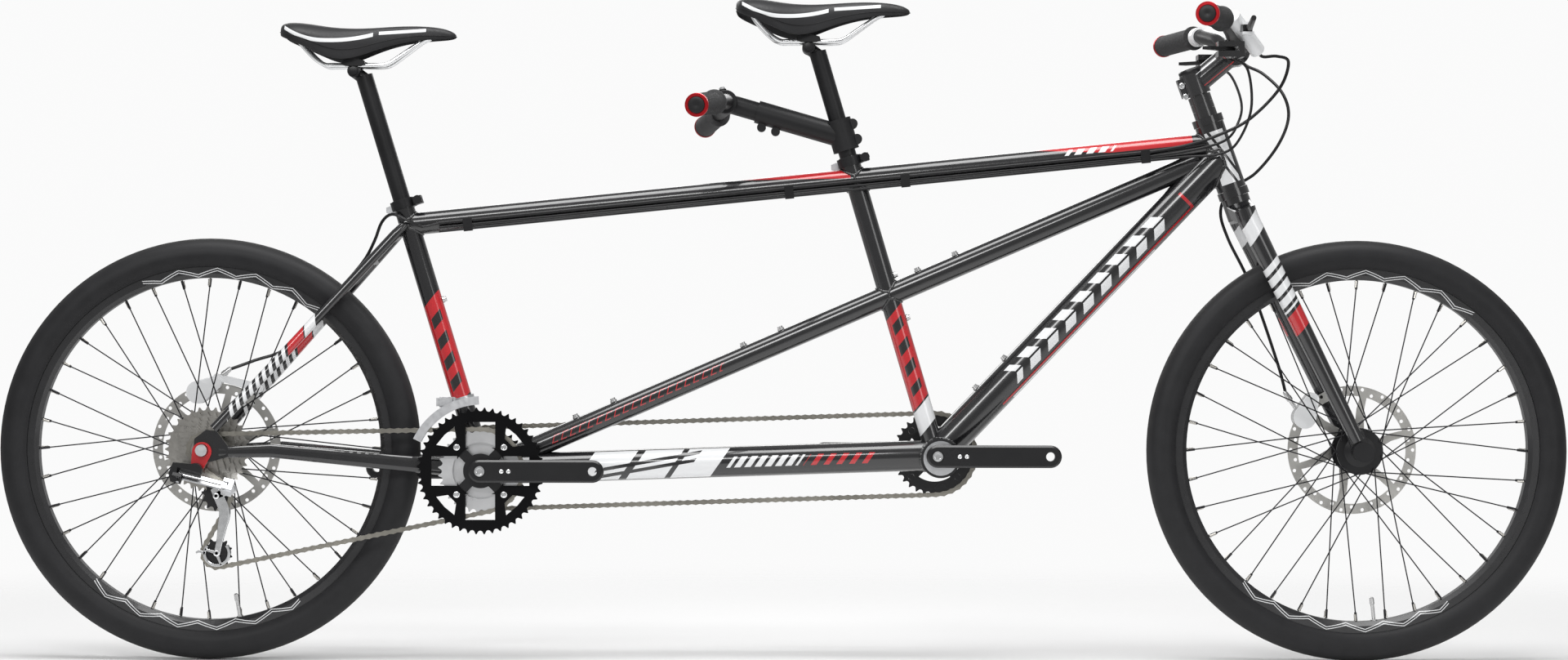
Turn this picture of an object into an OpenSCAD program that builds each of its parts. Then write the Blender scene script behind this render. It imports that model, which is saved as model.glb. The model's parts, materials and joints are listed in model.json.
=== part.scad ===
// Tandem bicycle for two riders. Millimetres, +X forward, +Y to the left, +Z up.
// The origin is on the ground, half way between the axles.

/* [Wheels] */
// Distance between the two axles
wheelbase = 1800; // [1700:5:1900]
// Outer radius of both tyres
tyre_r = 330; // [326:1:334]
// Width of both tyres
tyre_w = 50; // [44:1:52]
// Outer radius of both rims
rim_r = 285.5; // [284:0.5:287]
// Depth of the rims
rim_depth = 17.5; // [16:0.5:24]
// Width of the rims
rim_w = 28; // [25:1:30]
// Spoke diameter
spoke_d = 2; // [1.8:0.1:2.2]
// Spokes in each wheel
spoke_count = 36; // [28:4:36]
// Radius of the brake rotors
rotor_r = 101.5; // [90:0.5:104]
// Width of the front hub between the fork ends
front_hub_w = 100; // [98:1:110]
// Width of the rear hub between the dropouts
rear_hub_w = 145; // [141:1:150]

/* [Frame] */
// Length of the chain stays, axle to bracket
chainstay_len = 430; // [420:1:450]
// How far the stoker's bracket lies below the axles
bracket_drop = 32; // [24:1:40]
// How far the captain's bracket lies above the stoker's
captain_rise = 24; // [0:1:30]
// Lean of the stoker's seat tube from upright, degrees
stoker_lean = 17; // [15:0.5:19]
// Lean of the captain's seat tube from upright, degrees
captain_lean = 16.5; // [15:0.5:19]
// Lean of the steering axis from upright, degrees
head_lean = 19.5; // [18:0.5:21]
// Distance of the front axle ahead of the steering axis
fork_offset = 48; // [40:1:52]
// Slope of the top tube, degrees
top_slope = 5.82; // [4:0.1:8]
// Height of the top tube at the stoker's seat tube
top_height = 682.5; // [660:1:700]
// Diameter of the top tube
top_d = 35; // [31.8:0.1:38]
// Diameter of the down tube
down_d = 53; // [48:1:56]
// Diameter of the keel tube between the brackets
keel_d = 48; // [42:1:50]
// Diameter of the lateral tube
lateral_d = 34; // [30:1:36]
// Diameter of the seat tubes
seat_d = 31.8; // [31.8:0.1:34.9]
// Wall of the frame tubes
wall = 1.6; // [1.2:0.1:2.2]
// Outer diameter of the head tube
head_d = 46; // [44:1:50]
// Width of the bracket shells
shell_w = 73; // [68:1:80]
// Gap left at each welded joint
weld_gap = 0.15; // [0.1:0.05:0.3]

/* [Seats] */
// Seatpost diameter
post_d = 27.2; // [26.8:0.1:27.4]
// Height of the captain's saddle clamp
captain_clamp_z = 955; // [930:5:985]
// Height of the stoker's saddle clamp
stoker_clamp_z = 916; // [890:5:945]
// Length of each saddle
saddle_len = 278; // [260:1:290]
// Width of each saddle
saddle_w = 140; // [130:1:155]

/* [Cockpit] */
// Half width of the captain's handlebar
captain_bar_half = 300; // [280:5:320]
// Half width of the stoker's handlebar
stoker_bar_half = 280; // [260:5:300]
// Handlebar diameter at the grips
bar_d = 22.2; // [22:0.1:23.8]
// Diameter of the grips
grip_d = 34; // [30:0.5:36]
// Length of the grips
grip_len = 128; // [110:1:135]

/* [Drivetrain] */
// Crank length
crank_len = 175; // [165:2.5:180]
// Links in the timing chain, an even number
timing_links = 144; // [140:2:148]
// Radius of the empty pedal thread
pedal_r = 7; // [6.9:0.05:7.1]

/* [Hidden] */
$fn = 48;

// Running clearance on a radius, and the gap between parts that only touch
run_gap = 0.06;
gap = 0.3;
pitch = 12.7;
roller_r = 3.88;
tooth_half = 0.85;

// Main points in the mid-plane, as [x, z]
rear_axle_at = [-wheelbase / 2, tyre_r];
front_axle_at = [wheelbase / 2, tyre_r];
stoker_bb = rear_axle_at + [sqrt(pow(chainstay_len, 2) - pow(bracket_drop, 2)), -bracket_drop];
timing_teeth = 32;
bb_spacing = (timing_links - timing_teeth) * pitch / 2;
timing_tilt = asin(captain_rise / bb_spacing);
captain_bb = stoker_bb + bb_spacing * [cos(timing_tilt), sin(timing_tilt)];
stoker_up = [-sin(stoker_lean), cos(stoker_lean)];
captain_up = [-sin(captain_lean), cos(captain_lean)];
top_dir = [cos(top_slope), sin(top_slope)];
steer_up = [-sin(head_lean), cos(head_lean)];
steer_fwd = [cos(head_lean), sin(head_lean)];
steer_foot = front_axle_at - fork_offset * steer_fwd;

// Points along the seat tubes, the steering axis and the top tube
function on_stoker(z) = stoker_bb + stoker_up * (z - stoker_bb[1]) / stoker_up[1];
function on_captain(z) = captain_bb + captain_up * (z - captain_bb[1]) / captain_up[1];
function steer_point(s) = steer_foot + steer_up * s;
function cross2(a, b) = a[0] * b[1] - a[1] * b[0];
function meet(p, u, q, v) = p + u * cross2(q - p, v) / cross2(u, v);
top_rear = on_stoker(top_height);
top_mid = meet(top_rear, top_dir, captain_bb, captain_up);
top_front = meet(top_rear, top_dir, steer_foot, steer_up);
head_low = 452;
head_high = 560;
cup_h = 12;
down_front = steer_point(505);
lateral_front = steer_point(512);
lateral_dir = (lateral_front - stoker_bb) / norm(lateral_front - stoker_bb);
lateral_mid = meet(stoker_bb, lateral_dir, captain_bb, captain_up);
shell_d = 42;
eccentric_shell_d = 62;
eccentric_d = 54;
eccentric_shift = [5.8, -3.9];
eccentric_at = captain_bb + eccentric_shift;
captain_tube_top = top_mid + captain_up * 38;
stoker_tube_top = top_rear + stoker_up * 41;
steerer_d = 28.6;
axle_d = 12;
spindle_d = 24;
dropout_t = 7;
dropout_y = rear_hub_w / 2;

// Drivetrain planes, measured from the mid-plane
chainline = 50;
ring_step = 8;
timing_y = 52;
sprocket_teeth = [12, 13, 15, 17, 19, 21, 24, 28, 32];
sprocket_step = 4.34;
sprocket_y = 64;
ring_teeth = [24, 32, 48];
bolt_circle_r = 52;
arm_t = 13;
right_arm_y = 64;
left_arm_y = 60;
guide_at = rear_axle_at + [20, -71];
tension_at = rear_axle_at + [21, -160];
pulley_teeth = 11;
cage_pivot = rear_axle_at + [43, -60];
hanger_bolt = rear_axle_at + [-8.7, -30.4];
link_rear = rear_axle_at + [-34, -38];
link_front = rear_axle_at + [38, -56];
link_y = 88;
link_slant = 38;

function pitch_r(teeth) = pitch / (2 * sin(180 / teeth));
function polar(r, a) = [r * cos(a), r * sin(a)];

// ---- placing helpers ----
module at(p, y = 0) { translate([p[0], y, p[1]]) children(); }
module along(p, q) {
    translate([p[0], 0, p[1]]) rotate([0, atan2(q[0] - p[0], q[1] - p[1]), 0]) children();
}
module bar(p, q, d, spare = 0) {
    along(p, q) translate([0, 0, -spare]) cylinder(d = d, h = norm(q - p) + 2 * spare);
}
module rod(a, b, d, d2 = 0) {
    v = b - a;
    translate(a) rotate([0, acos(v[2] / norm(v)), atan2(v[1], v[0])])
        cylinder(d1 = d, d2 = d2 > 0 ? d2 : d, h = norm(v));
}
// A disc or ring about the Y axis, from y0 to y1
module disc(r, y0, y1, hole = 0) {
    translate([0, y1, 0]) rotate([90, 0, 0]) difference() {
        cylinder(r = r, h = y1 - y0);
        if (hole > 0) translate([0, 0, -1]) cylinder(r = hole, h = y1 - y0 + 2);
    }
}
// A flat outline drawn as [x, z], made solid from y0 to y1
module plate(y0, y1) { translate([0, y1, 0]) rotate([90, 0, 0]) linear_extrude(y1 - y0) children(); }
// A shape turned about the Y axis, drawn as [r, y]
module turned() { rotate([-90, 0, 0]) rotate_extrude($fn = 96) children(); }
module both_sides() { children(); mirror([0, 1, 0]) children(); }
module steering() { at(steer_foot) rotate([0, -head_lean, 0]) children(); }
module pipe(p, q, d, spare = 0) {
    difference() { bar(p, q, d, spare); bar(p, q, d - 2 * wall, spare + 5); }
}
// Tube of n sides through the points of a smooth route
function spline(p, k, t) = let(a = p[max(k - 1, 0)], b = p[k], c = p[k + 1], e = p[min(k + 2, len(p) - 1)])
    0.5 * ((2 * b) + (c - a) * t + (2 * a - 5 * b + 4 * c - e) * t * t
    + (3 * b - a - 3 * c + e) * t * t * t);
function route(p, n) = [for (k = [0 : len(p) - 2]) for (i = [0 : n - 1]) spline(p, k, i / n), p[len(p) - 1]];
function unit(v) = v / norm(v);
module tube_along(points, d, steps = 4, side = [0.1, 1, 0.15]) {
    n = 8;
    p = route(points, steps);
    m = len(p);
    dirs = [for (i = [0 : m - 1]) unit(p[min(i + 1, m - 1)] - p[max(i - 1, 0)])];
    skin = [for (i = [0 : m - 1]) let(u = unit(cross(dirs[i], side)), v = cross(dirs[i], u))
        for (j = [0 : n - 1]) p[i] + d / 2 * (u * cos(360 * j / n) + v * sin(360 * j / n))];
    walls = [for (i = [0 : m - 2]) for (j = [0 : n - 1])
        [i * n + j, (i + 1) * n + j, (i + 1) * n + (j + 1) % n, i * n + (j + 1) % n]];
    ends = [[for (j = [0 : n - 1]) j], [for (j = [n - 1 : -1 : 0]) (m - 1) * n + j]];
    polyhedron(skin, concat(walls, ends));
}

// ---- frame ----
module head_solid(extra = 0) { bar(steer_point(head_low), steer_point(head_high), head_d + 2 * extra, 30); }
module top_solid(extra = 0) { bar(top_rear, top_front, top_d + 2 * extra); }
module down_solid(extra = 0) { bar(captain_bb, down_front, down_d + 2 * extra); }
module captain_solid(extra = 0) { bar(captain_bb, captain_tube_top, seat_d + 2 * extra, 20); }
module stoker_solid(extra = 0) { bar(stoker_bb, stoker_tube_top, seat_d + 2 * extra, 20); }
module keel_solid(extra = 0) { bar(stoker_bb, captain_bb, keel_d + 2 * extra); }
module stoker_shell_solid(extra = 0) {
    at(stoker_bb) disc(shell_d / 2 + extra, -shell_w / 2 - 1, shell_w / 2 + 1);
}
module captain_shell_solid(extra = 0) {
    at(eccentric_at) disc(eccentric_shell_d / 2 + extra, -shell_w / 2 - 1, shell_w / 2 + 1);
}

module head_tube() color("#151517") {
    steering() {
        difference() {
            translate([0, 0, head_low]) cylinder(d = head_d, h = head_high - head_low);
            translate([0, 0, head_low - 1]) cylinder(d = 35, h = head_high - head_low + 2);
        }
        for (z = [head_low - cup_h - gap, head_high + gap]) translate([0, 0, z]) difference() {
            cylinder(d = head_d + 3, h = cup_h);
            translate([0, 0, -1]) cylinder(d = steerer_d + 2 * run_gap, h = cup_h + 2);
        }
    }
}

module top_tube() color("#151517") {
    difference() {
        pipe(top_rear, top_mid, top_d);
        stoker_solid(weld_gap);
        captain_solid(weld_gap);
    }
    difference() {
        pipe(top_mid, top_front, top_d);
        captain_solid(weld_gap);
        head_solid(weld_gap);
    }
}

module down_tube() color("#151517") difference() {
    pipe(captain_bb + unit(down_front - captain_bb) * 20, down_front, down_d);
    captain_shell_solid(weld_gap);
    captain_solid(weld_gap);
    head_solid(weld_gap);
    top_solid(weld_gap);
    steering() translate([-4, -60, head_low - 200]) cube([120, 120, 400]);
}

module captain_seat_tube() color("#151517") difference() {
    pipe(captain_bb, captain_tube_top, seat_d);
    bar(captain_bb + captain_up * 60, captain_tube_top, post_d + 2 * run_gap, 5);
    captain_shell_solid(weld_gap);
}

module stoker_seat_tube() color("#151517") difference() {
    pipe(stoker_bb, stoker_tube_top, seat_d);
    bar(stoker_bb + stoker_up * 60, stoker_tube_top, post_d + 2 * run_gap, 5);
    stoker_shell_solid(weld_gap);
}

module keel_tube() color("#151517") difference() {
    pipe(stoker_bb, captain_bb, keel_d);
    stoker_shell_solid(weld_gap);
    captain_shell_solid(weld_gap);
    stoker_solid(weld_gap);
    captain_solid(weld_gap);
    down_solid(weld_gap);
}

module lateral_tube() color("#151517") {
    difference() {
        pipe(stoker_bb, lateral_mid, lateral_d);
        stoker_shell_solid(weld_gap);
        stoker_solid(weld_gap);
        keel_solid(weld_gap);
        captain_solid(weld_gap);
    }
    difference() {
        pipe(lateral_mid + lateral_dir * 0.5, lateral_front, lateral_d);
        captain_solid(weld_gap);
        down_solid(weld_gap);
        top_solid(weld_gap);
        head_solid(weld_gap);
        bar(down_front - lateral_dir * 34, down_front + lateral_dir * 60, 60);
    }
}

module bracket_shells() color("#151517") {
    at(stoker_bb) disc(shell_d / 2, -shell_w / 2, shell_w / 2, shell_d / 2 - 3);
    at(eccentric_at) disc(eccentric_shell_d / 2, -shell_w / 2, shell_w / 2, eccentric_d / 2 + run_gap);
}

// One flat-sided oval slice of a stay, seen along the stay
module stay_slice(p, w, h) {
    translate(p) for (s = [-1, 1]) translate([0, 0, s * (h - w) / 2]) rotate([0, 90, 0])
        cylinder(d = w, h = 1, center = true, $fn = 20);
}
stay_front = [stoker_bb[0] - 14, 25, stoker_bb[1] + 2];
stay_mid = [stoker_bb[0] - 110, 39, stoker_bb[1] + 10];
stay_bend = [rear_axle_at[0] + 104, 67, rear_axle_at[1] - 1];
stay_rear = [rear_axle_at[0] + 26, dropout_y + 2, rear_axle_at[1] - 3];
module chain_stays() color("#151517") {
    difference() {
        both_sides() {
            hull() { stay_slice(stay_front, 15, 28); stay_slice(stay_mid, 16, 26); }
            hull() { stay_slice(stay_mid, 16, 26); stay_slice(stay_bend, 13, 21); }
            hull() { stay_slice(stay_bend, 13, 21); stay_slice(stay_rear, 12, 17); }
            dropout();
        }
        stoker_shell_solid(weld_gap);
        stoker_solid(weld_gap);
        at(rear_axle_at) disc(axle_d / 2 + run_gap, -100, 100);
        keel_solid(weld_gap);
        for (s = [-1, 1]) at(hanger_bolt) disc(5, -100, -dropout_y + 1);
    }
    color("#a3161f") difference() {
        plate(-dropout_y - dropout_t - gap - 4, -dropout_y - dropout_t - gap) difference() {
            hull() {
                translate(rear_axle_at + [0, -2]) circle(15, $fn = 24);
                translate(hanger_bolt) circle(9, $fn = 24);
            }
        }
        at(rear_axle_at) disc(axle_d / 2 + 4, -100, 0);
        at(hanger_bolt) disc(4 + run_gap, -100, 0);
    }
}
module dropout() {
    plate(dropout_y, dropout_y + dropout_t) polygon([rear_axle_at + [-16, -14], rear_axle_at + [-12, 18],
        rear_axle_at + [6, 32], rear_axle_at + [22, 30], rear_axle_at + [40, 6],
        rear_axle_at + [40, -10], rear_axle_at + [12, -18], rear_axle_at + [-4, -20]]);
}

stay_top = [top_rear[0] - 18, 20, top_rear[1] - 14];
stay_foot = [rear_axle_at[0] + 17, dropout_y + 3.5, rear_axle_at[1] + 32.5];
module seat_stays() color("#151517") {
    difference() {
        both_sides() rod(stay_top, stay_foot, 15.5);
        stoker_solid(weld_gap);
        both_sides() plate(dropout_y - gap, dropout_y + dropout_t + gap)
            translate(rear_axle_at) translate([-30, -30]) square([80, 62.5]);
    }
    bridge = stay_top + (stay_foot - stay_top) * 0.14;
    difference() {
        rod([bridge[0], -bridge[1], bridge[2]], bridge, 14);
        both_sides() rod(stay_top, stay_foot, 15.5 + 2 * gap);
    }
}

// Split collar that clamps a seatpost, with its bolt lugs ahead of the tube
module collar(top, up, lean) {
    at(top + up * -16) rotate([0, -lean, 0]) {
        difference() {
            union() {
                translate([0, 0, 1]) cylinder(d = seat_d + 7, h = 14);
                translate([seat_d / 2 + 1, -11, 2]) cube([14, 22, 12]);
            }
            translate([0, 0, -1]) cylinder(d = seat_d + 2 * run_gap, h = 20);
            translate([seat_d / 2 - 4, -1.5, -1]) cube([24, 3, 20]);
            translate([seat_d / 2 + 9, 0, 8]) rotate([90, 0, 0]) cylinder(d = 5.2, h = 60, center = true);
        }
    }
}
// Where each quick-release skewer lies, as [x, z]
function skewer_at(top, up, lean) = top + up * -8 + [cos(lean), sin(lean)] * (seat_d / 2 + 9);
skewer_end = 11.6;
module skewer(top, up, lean) {
    at(skewer_at(top, up, lean)) {
        disc(2.4, -17, skewer_end);
        disc(7, -17, -11 - gap);
    }
}
module seat_collars() {
    color("#1b1b1d") collar(captain_tube_top, captain_up, captain_lean);
    color("#1b1b1d") collar(stoker_tube_top, stoker_up, stoker_lean);
    color("#b8bbbf") skewer(captain_tube_top, captain_up, captain_lean);
    color("#b8bbbf") skewer(stoker_tube_top, stoker_up, stoker_lean);
}
// Cam lever: a barrel along the post at the skewer's end, and a handle that lies back beside the collar
module seat_lever(top, up, lean) color("#b8bbbf") {
    at(skewer_at(top, up, lean), skewer_end + gap + 6) rotate([0, -lean, 0]) {
        translate([0, 0, -6]) cylinder(r = 6, h = 12);
        plate(1.5, 5.5) polygon([[-4, 6], [1.5, 6], [1.5, -6], [-4, -6], [-42, -12], [-56, -4], [-54, 4],
            [-46, 5], [-14, 2]]);
    }
}
module captain_seat_lever() seat_lever(captain_tube_top, captain_up, captain_lean);
module stoker_seat_lever() seat_lever(stoker_tube_top, stoker_up, stoker_lean);

module bracket_bearings() color("#b8bbbf") {
    for (s = [0, 1]) mirror([0, s, 0]) {
        at(stoker_bb) disc(shell_d / 2 - 3 - run_gap, 10, shell_w / 2, spindle_d / 2 + run_gap);
        at(stoker_bb) disc(shell_d / 2 - 1, shell_w / 2 + gap, shell_w / 2 + 4, spindle_d / 2 + run_gap);
    }
    difference() {
        at(eccentric_at) disc(eccentric_d / 2, -shell_w / 2 - 1, shell_w / 2 + 1);
        at(captain_bb) disc(spindle_d / 2 + run_gap, -60, 60);
        at(captain_bb) disc(15, -26, 26);
    }
}

// Button-head bolts on the bottle bosses, each standing off its tube along its own normal
module boss_bolts(p, dir, r, places) {
    normal = [-dir[1], dir[0]];
    for (s = places) {
        foot = p + dir * s + normal * (r + 0.1);
        bar(foot, foot + normal * 2.5, 11);
        bar(foot + normal * 2.4, foot + normal * 6, 8.5);
    }
}
module bottle_bolts() color("#b8bbbf") {
    down_dir = unit(down_front - captain_bb);
    boss_bolts(stoker_bb, lateral_dir, lateral_d / 2, [166, 230, 452, 516, 750, 814]);
    boss_bolts(captain_bb, down_dir, down_d / 2, [120, 184]);
    boss_bolts(on_captain(600), captain_up * -1, seat_d / 2, [0, 70]);
    boss_bolts(on_stoker(560), stoker_up * -1, seat_d / 2, [0]);
}

// Point on the top tube at height x, out from its middle by y and z
function beside_top(x, y, dz) = [x, y, top_rear[1] + (x - top_rear[0]) * tan(top_slope) + dz];
clip_x = [-495, 8, 190, 566];
module frame_cables() color("#0c0c0d") {
    for (x = clip_x) difference() {
        translate(beside_top(x, -19.9, -10)) rotate([0, -top_slope, 0]) cube([14, 7.5, 20], center = true);
        top_solid(0.2);
        for (dz = [-3, -10, -16]) rod(beside_top(-560, -20.5, dz), beside_top(600, -20.5, dz), 5.4);
    }
    rod(beside_top(-540, -20.5, -3), beside_top(573, -20.5, -3), 5);
    rod(beside_top(-540, -20.5, -10), beside_top(573, -20.5, -10), 4);
    rod(beside_top(-540, -20.5, -16), beside_top(573, -20.5, -16), 4);
    tube_along([[-540.2, -20.5, beside_top(-540.2, 0, -3)[2]], [-566, -21.5, 679], [-592, -25, 690],
        [-614, -19, 698], [-632, 0, 686], [-646, 18, 656], [-668, 30, 620], [-726, 42.4, 556],
        [-787, 54.7, 489], [-840, 56, 468], [-884, 54, 452]], 5, 4);
}

module caliper() {
    difference() {
        hull() {
            translate([0, 0, 0]) rotate([90, 0, 0]) cylinder(d = 36, h = 30, center = true, $fn = 28);
            translate([30, 0, 6]) rotate([90, 0, 0]) cylinder(d = 22, h = 26, center = true, $fn = 28);
        }
        translate([-40, -1.9, -60]) cube([120, 3.8, 72]);
    }
}
rotor_y = 44;
rear_rotor_y = 58;
module rear_caliper() {
    color("#d9dbdd") at(rear_axle_at, rear_rotor_y) rotate([0, -108, 0]) translate([92, 0, 0])
        rotate([0, 90, 0]) caliper();
    color("#232427") at(rear_axle_at) {
        plate(49.5, 56) hull() {
            translate([0, 112]) circle(r = 5, $fn = 24);
            translate([68, 94]) circle(r = 7, $fn = 24);
        }
    }
}
module front_caliper() color("#d9dbdd") {
    at(front_axle_at, rotor_y) rotate([0, -146, 0]) translate([92, 0, 0]) rotate([0, 90, 0]) caliper();
}

mech_mount = on_stoker(404);
// The cage swings on a pin along X, held between two ears of the clamp body
cage_pin_y = -38;
module front_mech_body() color("#9a9ea3") at(mech_mount) difference() {
    union() {
        rotate([0, -stoker_lean, 0]) translate([0, 0, -8]) cylinder(d = seat_d + 7, h = 16);
        translate([-34, -30.5, -8]) cube([24, 22, 16]);
        for (x = [-38, -12]) translate([x, -42, -6]) cube([4, 14, 13]);
    }
    rotate([0, -stoker_lean, 0]) translate([0, 0, -20]) cylinder(d = seat_d + 2 * run_gap, h = 40);
    translate([-50, cage_pin_y, 0]) rotate([0, 90, 0]) cylinder(d = 4 + 2 * run_gap, h = 60);
}
module front_mech_cage() color("#c9ccd0") {
    at(stoker_bb) for (y = [-44.5, -57.8]) plate(y, y + 1) difference() {
        circle(r = 116, $fn = 96);
        circle(r = 103, $fn = 96);
        polygon([[0, 0], polar(300, 92), polar(300, 10), [300, -300], [-300, -300], polar(300, 154.5)]);
    }
    at(stoker_bb) plate(-57, -44) polygon([polar(103.5, 154), polar(115.5, 154), polar(115.5, 151.5),
        polar(103.5, 151.5)]);
    at(mech_mount) {
        translate([-33.5, -44, -5]) cube([21, 9, 12]);
        translate([-38, cage_pin_y, 0]) rotate([0, 90, 0]) cylinder(d = 4, h = 30);
    }
}

// ---- chains and toothed wheels ----
// Outline of a chain wheel: roller seats on the pitch circle and short teeth between them
function tooth_points(teeth, first) = let(r = pitch_r(teeth), seat = roller_r + 0.42)
    [for (i = [0 : teeth - 1]) let(a = first + i * 360 / teeth) for (k = [0 : 6])
        k < 5 ? polar(r, a) + polar(seat, a + 180 + 75 - k * 37.5)
        : polar(r + 1.6, a + 180 / teeth + (k == 5 ? -0.7 : 0.7) * 57.3 / r)];
module wheel_outline(teeth, first = 0) { polygon(tooth_points(teeth, first)); }

// Timing chain: its rollers sit on both wheels, with whole links between
module timing_loop(offset_r) {
    half = bb_spacing / 2;
    r = pitch_r(timing_teeth);
    steps = timing_teeth / 2;
    ends = [for (s = [0, 1]) for (i = [0 : steps]) let(a = 90 - 180 * s - i * 180 / steps)
        [s == 0 ? half : -half, 0] + polar(r + offset_r, a)];
    polygon(ends);
}
timing_mid = (stoker_bb + captain_bb) / 2;
module in_timing_plane() { at(timing_mid) rotate([0, -timing_tilt, 0]) children(); }
module timing_chain() color("#8d8a80") {
    half = bb_spacing / 2;
    r = pitch_r(timing_teeth);
    links = (timing_links - timing_teeth) / 2;
    in_timing_plane() {
        for (s = [-1, 1]) plate(timing_y + s * 2 - 0.75, timing_y + s * 2 + 0.75) difference() {
            timing_loop(3.8);
            timing_loop(-3.8);
        }
        for (i = [1 : links - 1]) for (s = [-1, 1]) at([-half + i * pitch, s * r], timing_y)
            disc(roller_r, -1.2, 1.2);
        for (s = [0, 1]) for (i = [0 : timing_teeth / 2])
            at([s == 0 ? half : -half, 0] + polar(r, 90 - 180 * s - i * 360 / timing_teeth), timing_y)
                disc(roller_r, -1.2, 1.2);
    }
}

// Drive chain path: the toothed wheels in chain order, as [centre, teeth, turning sense, y]
path_wheels = [[stoker_bb, ring_teeth[1], 1, -chainline], [tension_at, pulley_teeth, 1, -sprocket_y],
    [guide_at, pulley_teeth, -1, -sprocket_y], [rear_axle_at, sprocket_teeth[0], 1, -sprocket_y]];
function wheel(i) = path_wheels[i % 4];
function wheel_r(i) = pitch_r(wheel(i)[1]);
// Direction and length of the straight run that leaves wheel i
function run_dir(i) = let(d = wheel(i + 1)[0] - wheel(i)[0])
    atan2(d[1], d[0]) - asin((wheel(i)[2] * wheel_r(i) - wheel(i + 1)[2] * wheel_r(i + 1)) / norm(d));
function run_len(i) = let(d = wheel(i + 1)[0] - wheel(i)[0])
    norm(d) * cos(atan2(d[1], d[0]) - run_dir(i));
function wrap(a) = a - 360 * floor(a / 360);
function sweep(i) = wrap(wheel(i)[2] * (run_dir(i + 3) - run_dir(i)));
arc_links = [for (i = [0 : 3]) sweep(i) * wheel(i)[1] / 360];
run_total = run_len(0) + run_len(1) + run_len(2) + run_len(3);
arc_total = arc_links[0] + arc_links[1] + arc_links[2] + arc_links[3];
drive_links = 2 * round((arc_total + run_total / pitch) / 2);
link_len = run_total / (drive_links - arc_total);
run_links = [for (i = [0 : 3]) run_len(i) / link_len];
// Link count at which the chain meets wheel i, starting at wheel 0
function start(i) = i == 0 ? 0 : start(i - 1) + arc_links[i - 1] + run_links[i - 1];
// Place of link u on the path, as [x, z, y, direction]
function on_arc(i, u) = let(a = run_dir(i + 3) + 90 * wheel(i)[2] - wheel(i)[2] * u * 360 / wheel(i)[1],
    p = wheel(i)[0] + polar(wheel_r(i), a)) [p[0], p[1], wheel(i)[3], a - 90 * wheel(i)[2]];
// The chain runs straight off each wheel for a few links before it slants across to the next
straight_links = 2.5;
function on_run(i, u) = let(a = run_dir(i), s = wheel(i)[2],
    t = max(0, min(1, (u - straight_links) / (run_links[i] - 2 * straight_links))),
    p = wheel(i)[0] + s * wheel_r(i) * [-sin(a), cos(a)] + polar(u * link_len, a))
    [p[0], p[1], wheel(i)[3] + t * (wheel(i + 1)[3] - wheel(i)[3]), a];
function on_path(u, i = 0) = u < start(i) + arc_links[i] ? on_arc(i, u - start(i))
    : i == 3 || u < start(i + 1) ? on_run(i, u - start(i) - arc_links[i]) : on_path(u, i + 1);
// Angle of the first roller on wheel i
function first_tooth(i) = let(u = ceil(start(i)) - start(i))
    run_dir(i + 3) + 90 * wheel(i)[2] - wheel(i)[2] * u * 360 / wheel(i)[1];
module chain_side(y0, y1) {
    n = drive_links;
    skin = [for (k = [0 : n - 1]) let(p = on_path(k), nrm = [-sin(p[3]), cos(p[3])] * 3.8)
        for (c = [[1, y0], [1, y1], [-1, y1], [-1, y0]])
            [p[0] + c[0] * nrm[0], p[2] + c[1], p[1] + c[0] * nrm[1]]];
    polyhedron(skin, [for (k = [0 : n - 1]) for (j = [0 : 3])
        let(m = (k + 1) % n, q = (j + 1) % 4) [k * 4 + j, k * 4 + q, m * 4 + q, m * 4 + j]]);
}
module drive_chain() color("#8d8a80") {
    chain_side(1.35, 2.6);
    chain_side(-2.6, -1.35);
    for (k = [0 : drive_links - 1]) let(p = on_path(k)) at([p[0], p[1]], p[2]) disc(roller_r, -1.1, 1.1);
}

module cassette() color("#8f9296") at(rear_axle_at) {
    for (i = [0 : 8]) let(y = -sprocket_y + i * sprocket_step, t = sprocket_teeth[i])
        plate(y - tooth_half, y + tooth_half) difference() {
            wheel_outline(t, i == 0 ? first_tooth(3) : 90 - 180 / t);
            circle(r = 15);
            if (t > 20) for (k = [0 : 5]) rotate(k * 60 + i * 7) translate([pitch_r(t) * 0.62, 0])
                circle(r = pitch_r(t) * 0.17, $fn = 24);
        }
    disc(17.4, -sprocket_y - 0.9 - 2.6, -sprocket_y - 0.95, 15);
    for (i = [0 : 7]) disc(17.5, -sprocket_y + i * sprocket_step + 0.95,
        -sprocket_y + (i + 1) * sprocket_step - 0.95, 15);
    disc(14.9, -sprocket_y - 4, -28, axle_d / 2 + run_gap);
}

module chain_ring(y, teeth, first, hole, windows = false) {
    at(stoker_bb) plate(y - tooth_half, y + tooth_half) difference() {
        wheel_outline(teeth, first);
        circle(r = hole);
        if (windows) for (k = [0 : 3]) {
            rotate(k * 90) translate([36, -23]) square([40, 46]);
            rotate(k * 90 + 45) polygon([[62, -9], [77, -20], [79, 0], [77, 20], [62, 9]]);
        }
        bolts = teeth > 30 ? bolt_circle_r : 32;
        for (k = [0 : 3]) rotate(45 + k * 90) translate([bolts, 0]) circle(d = 10.2, $fn = 24);
    }
}
module chainrings() {
    color("#1b1b1d") chain_ring(-chainline - ring_step, ring_teeth[2], 90, 40, true);
    color("#c9ccd0") chain_ring(-chainline, ring_teeth[1], first_tooth(0), 44);
    color("#c9ccd0") chain_ring(-chainline + ring_step, ring_teeth[0], 90, 26);
    color("#1b1b1d") timing_ring(stoker_bb);
    color("#b8bbbf") for (k = [0 : 3]) {
        p = stoker_bb + polar(bolt_circle_r, 45 + k * 90);
        at(p) disc(5, -chainline - ring_step - 1.2, -chainline + 1.2);
        at(stoker_bb + polar(32, 45 + k * 90)) disc(5, -chainline - 1, -chainline + ring_step + 1.2);
        at(stoker_bb + polar(bolt_circle_r, 45 + k * 90)) disc(5, timing_y - 1.2, timing_y + 1.2);
    }
}
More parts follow.
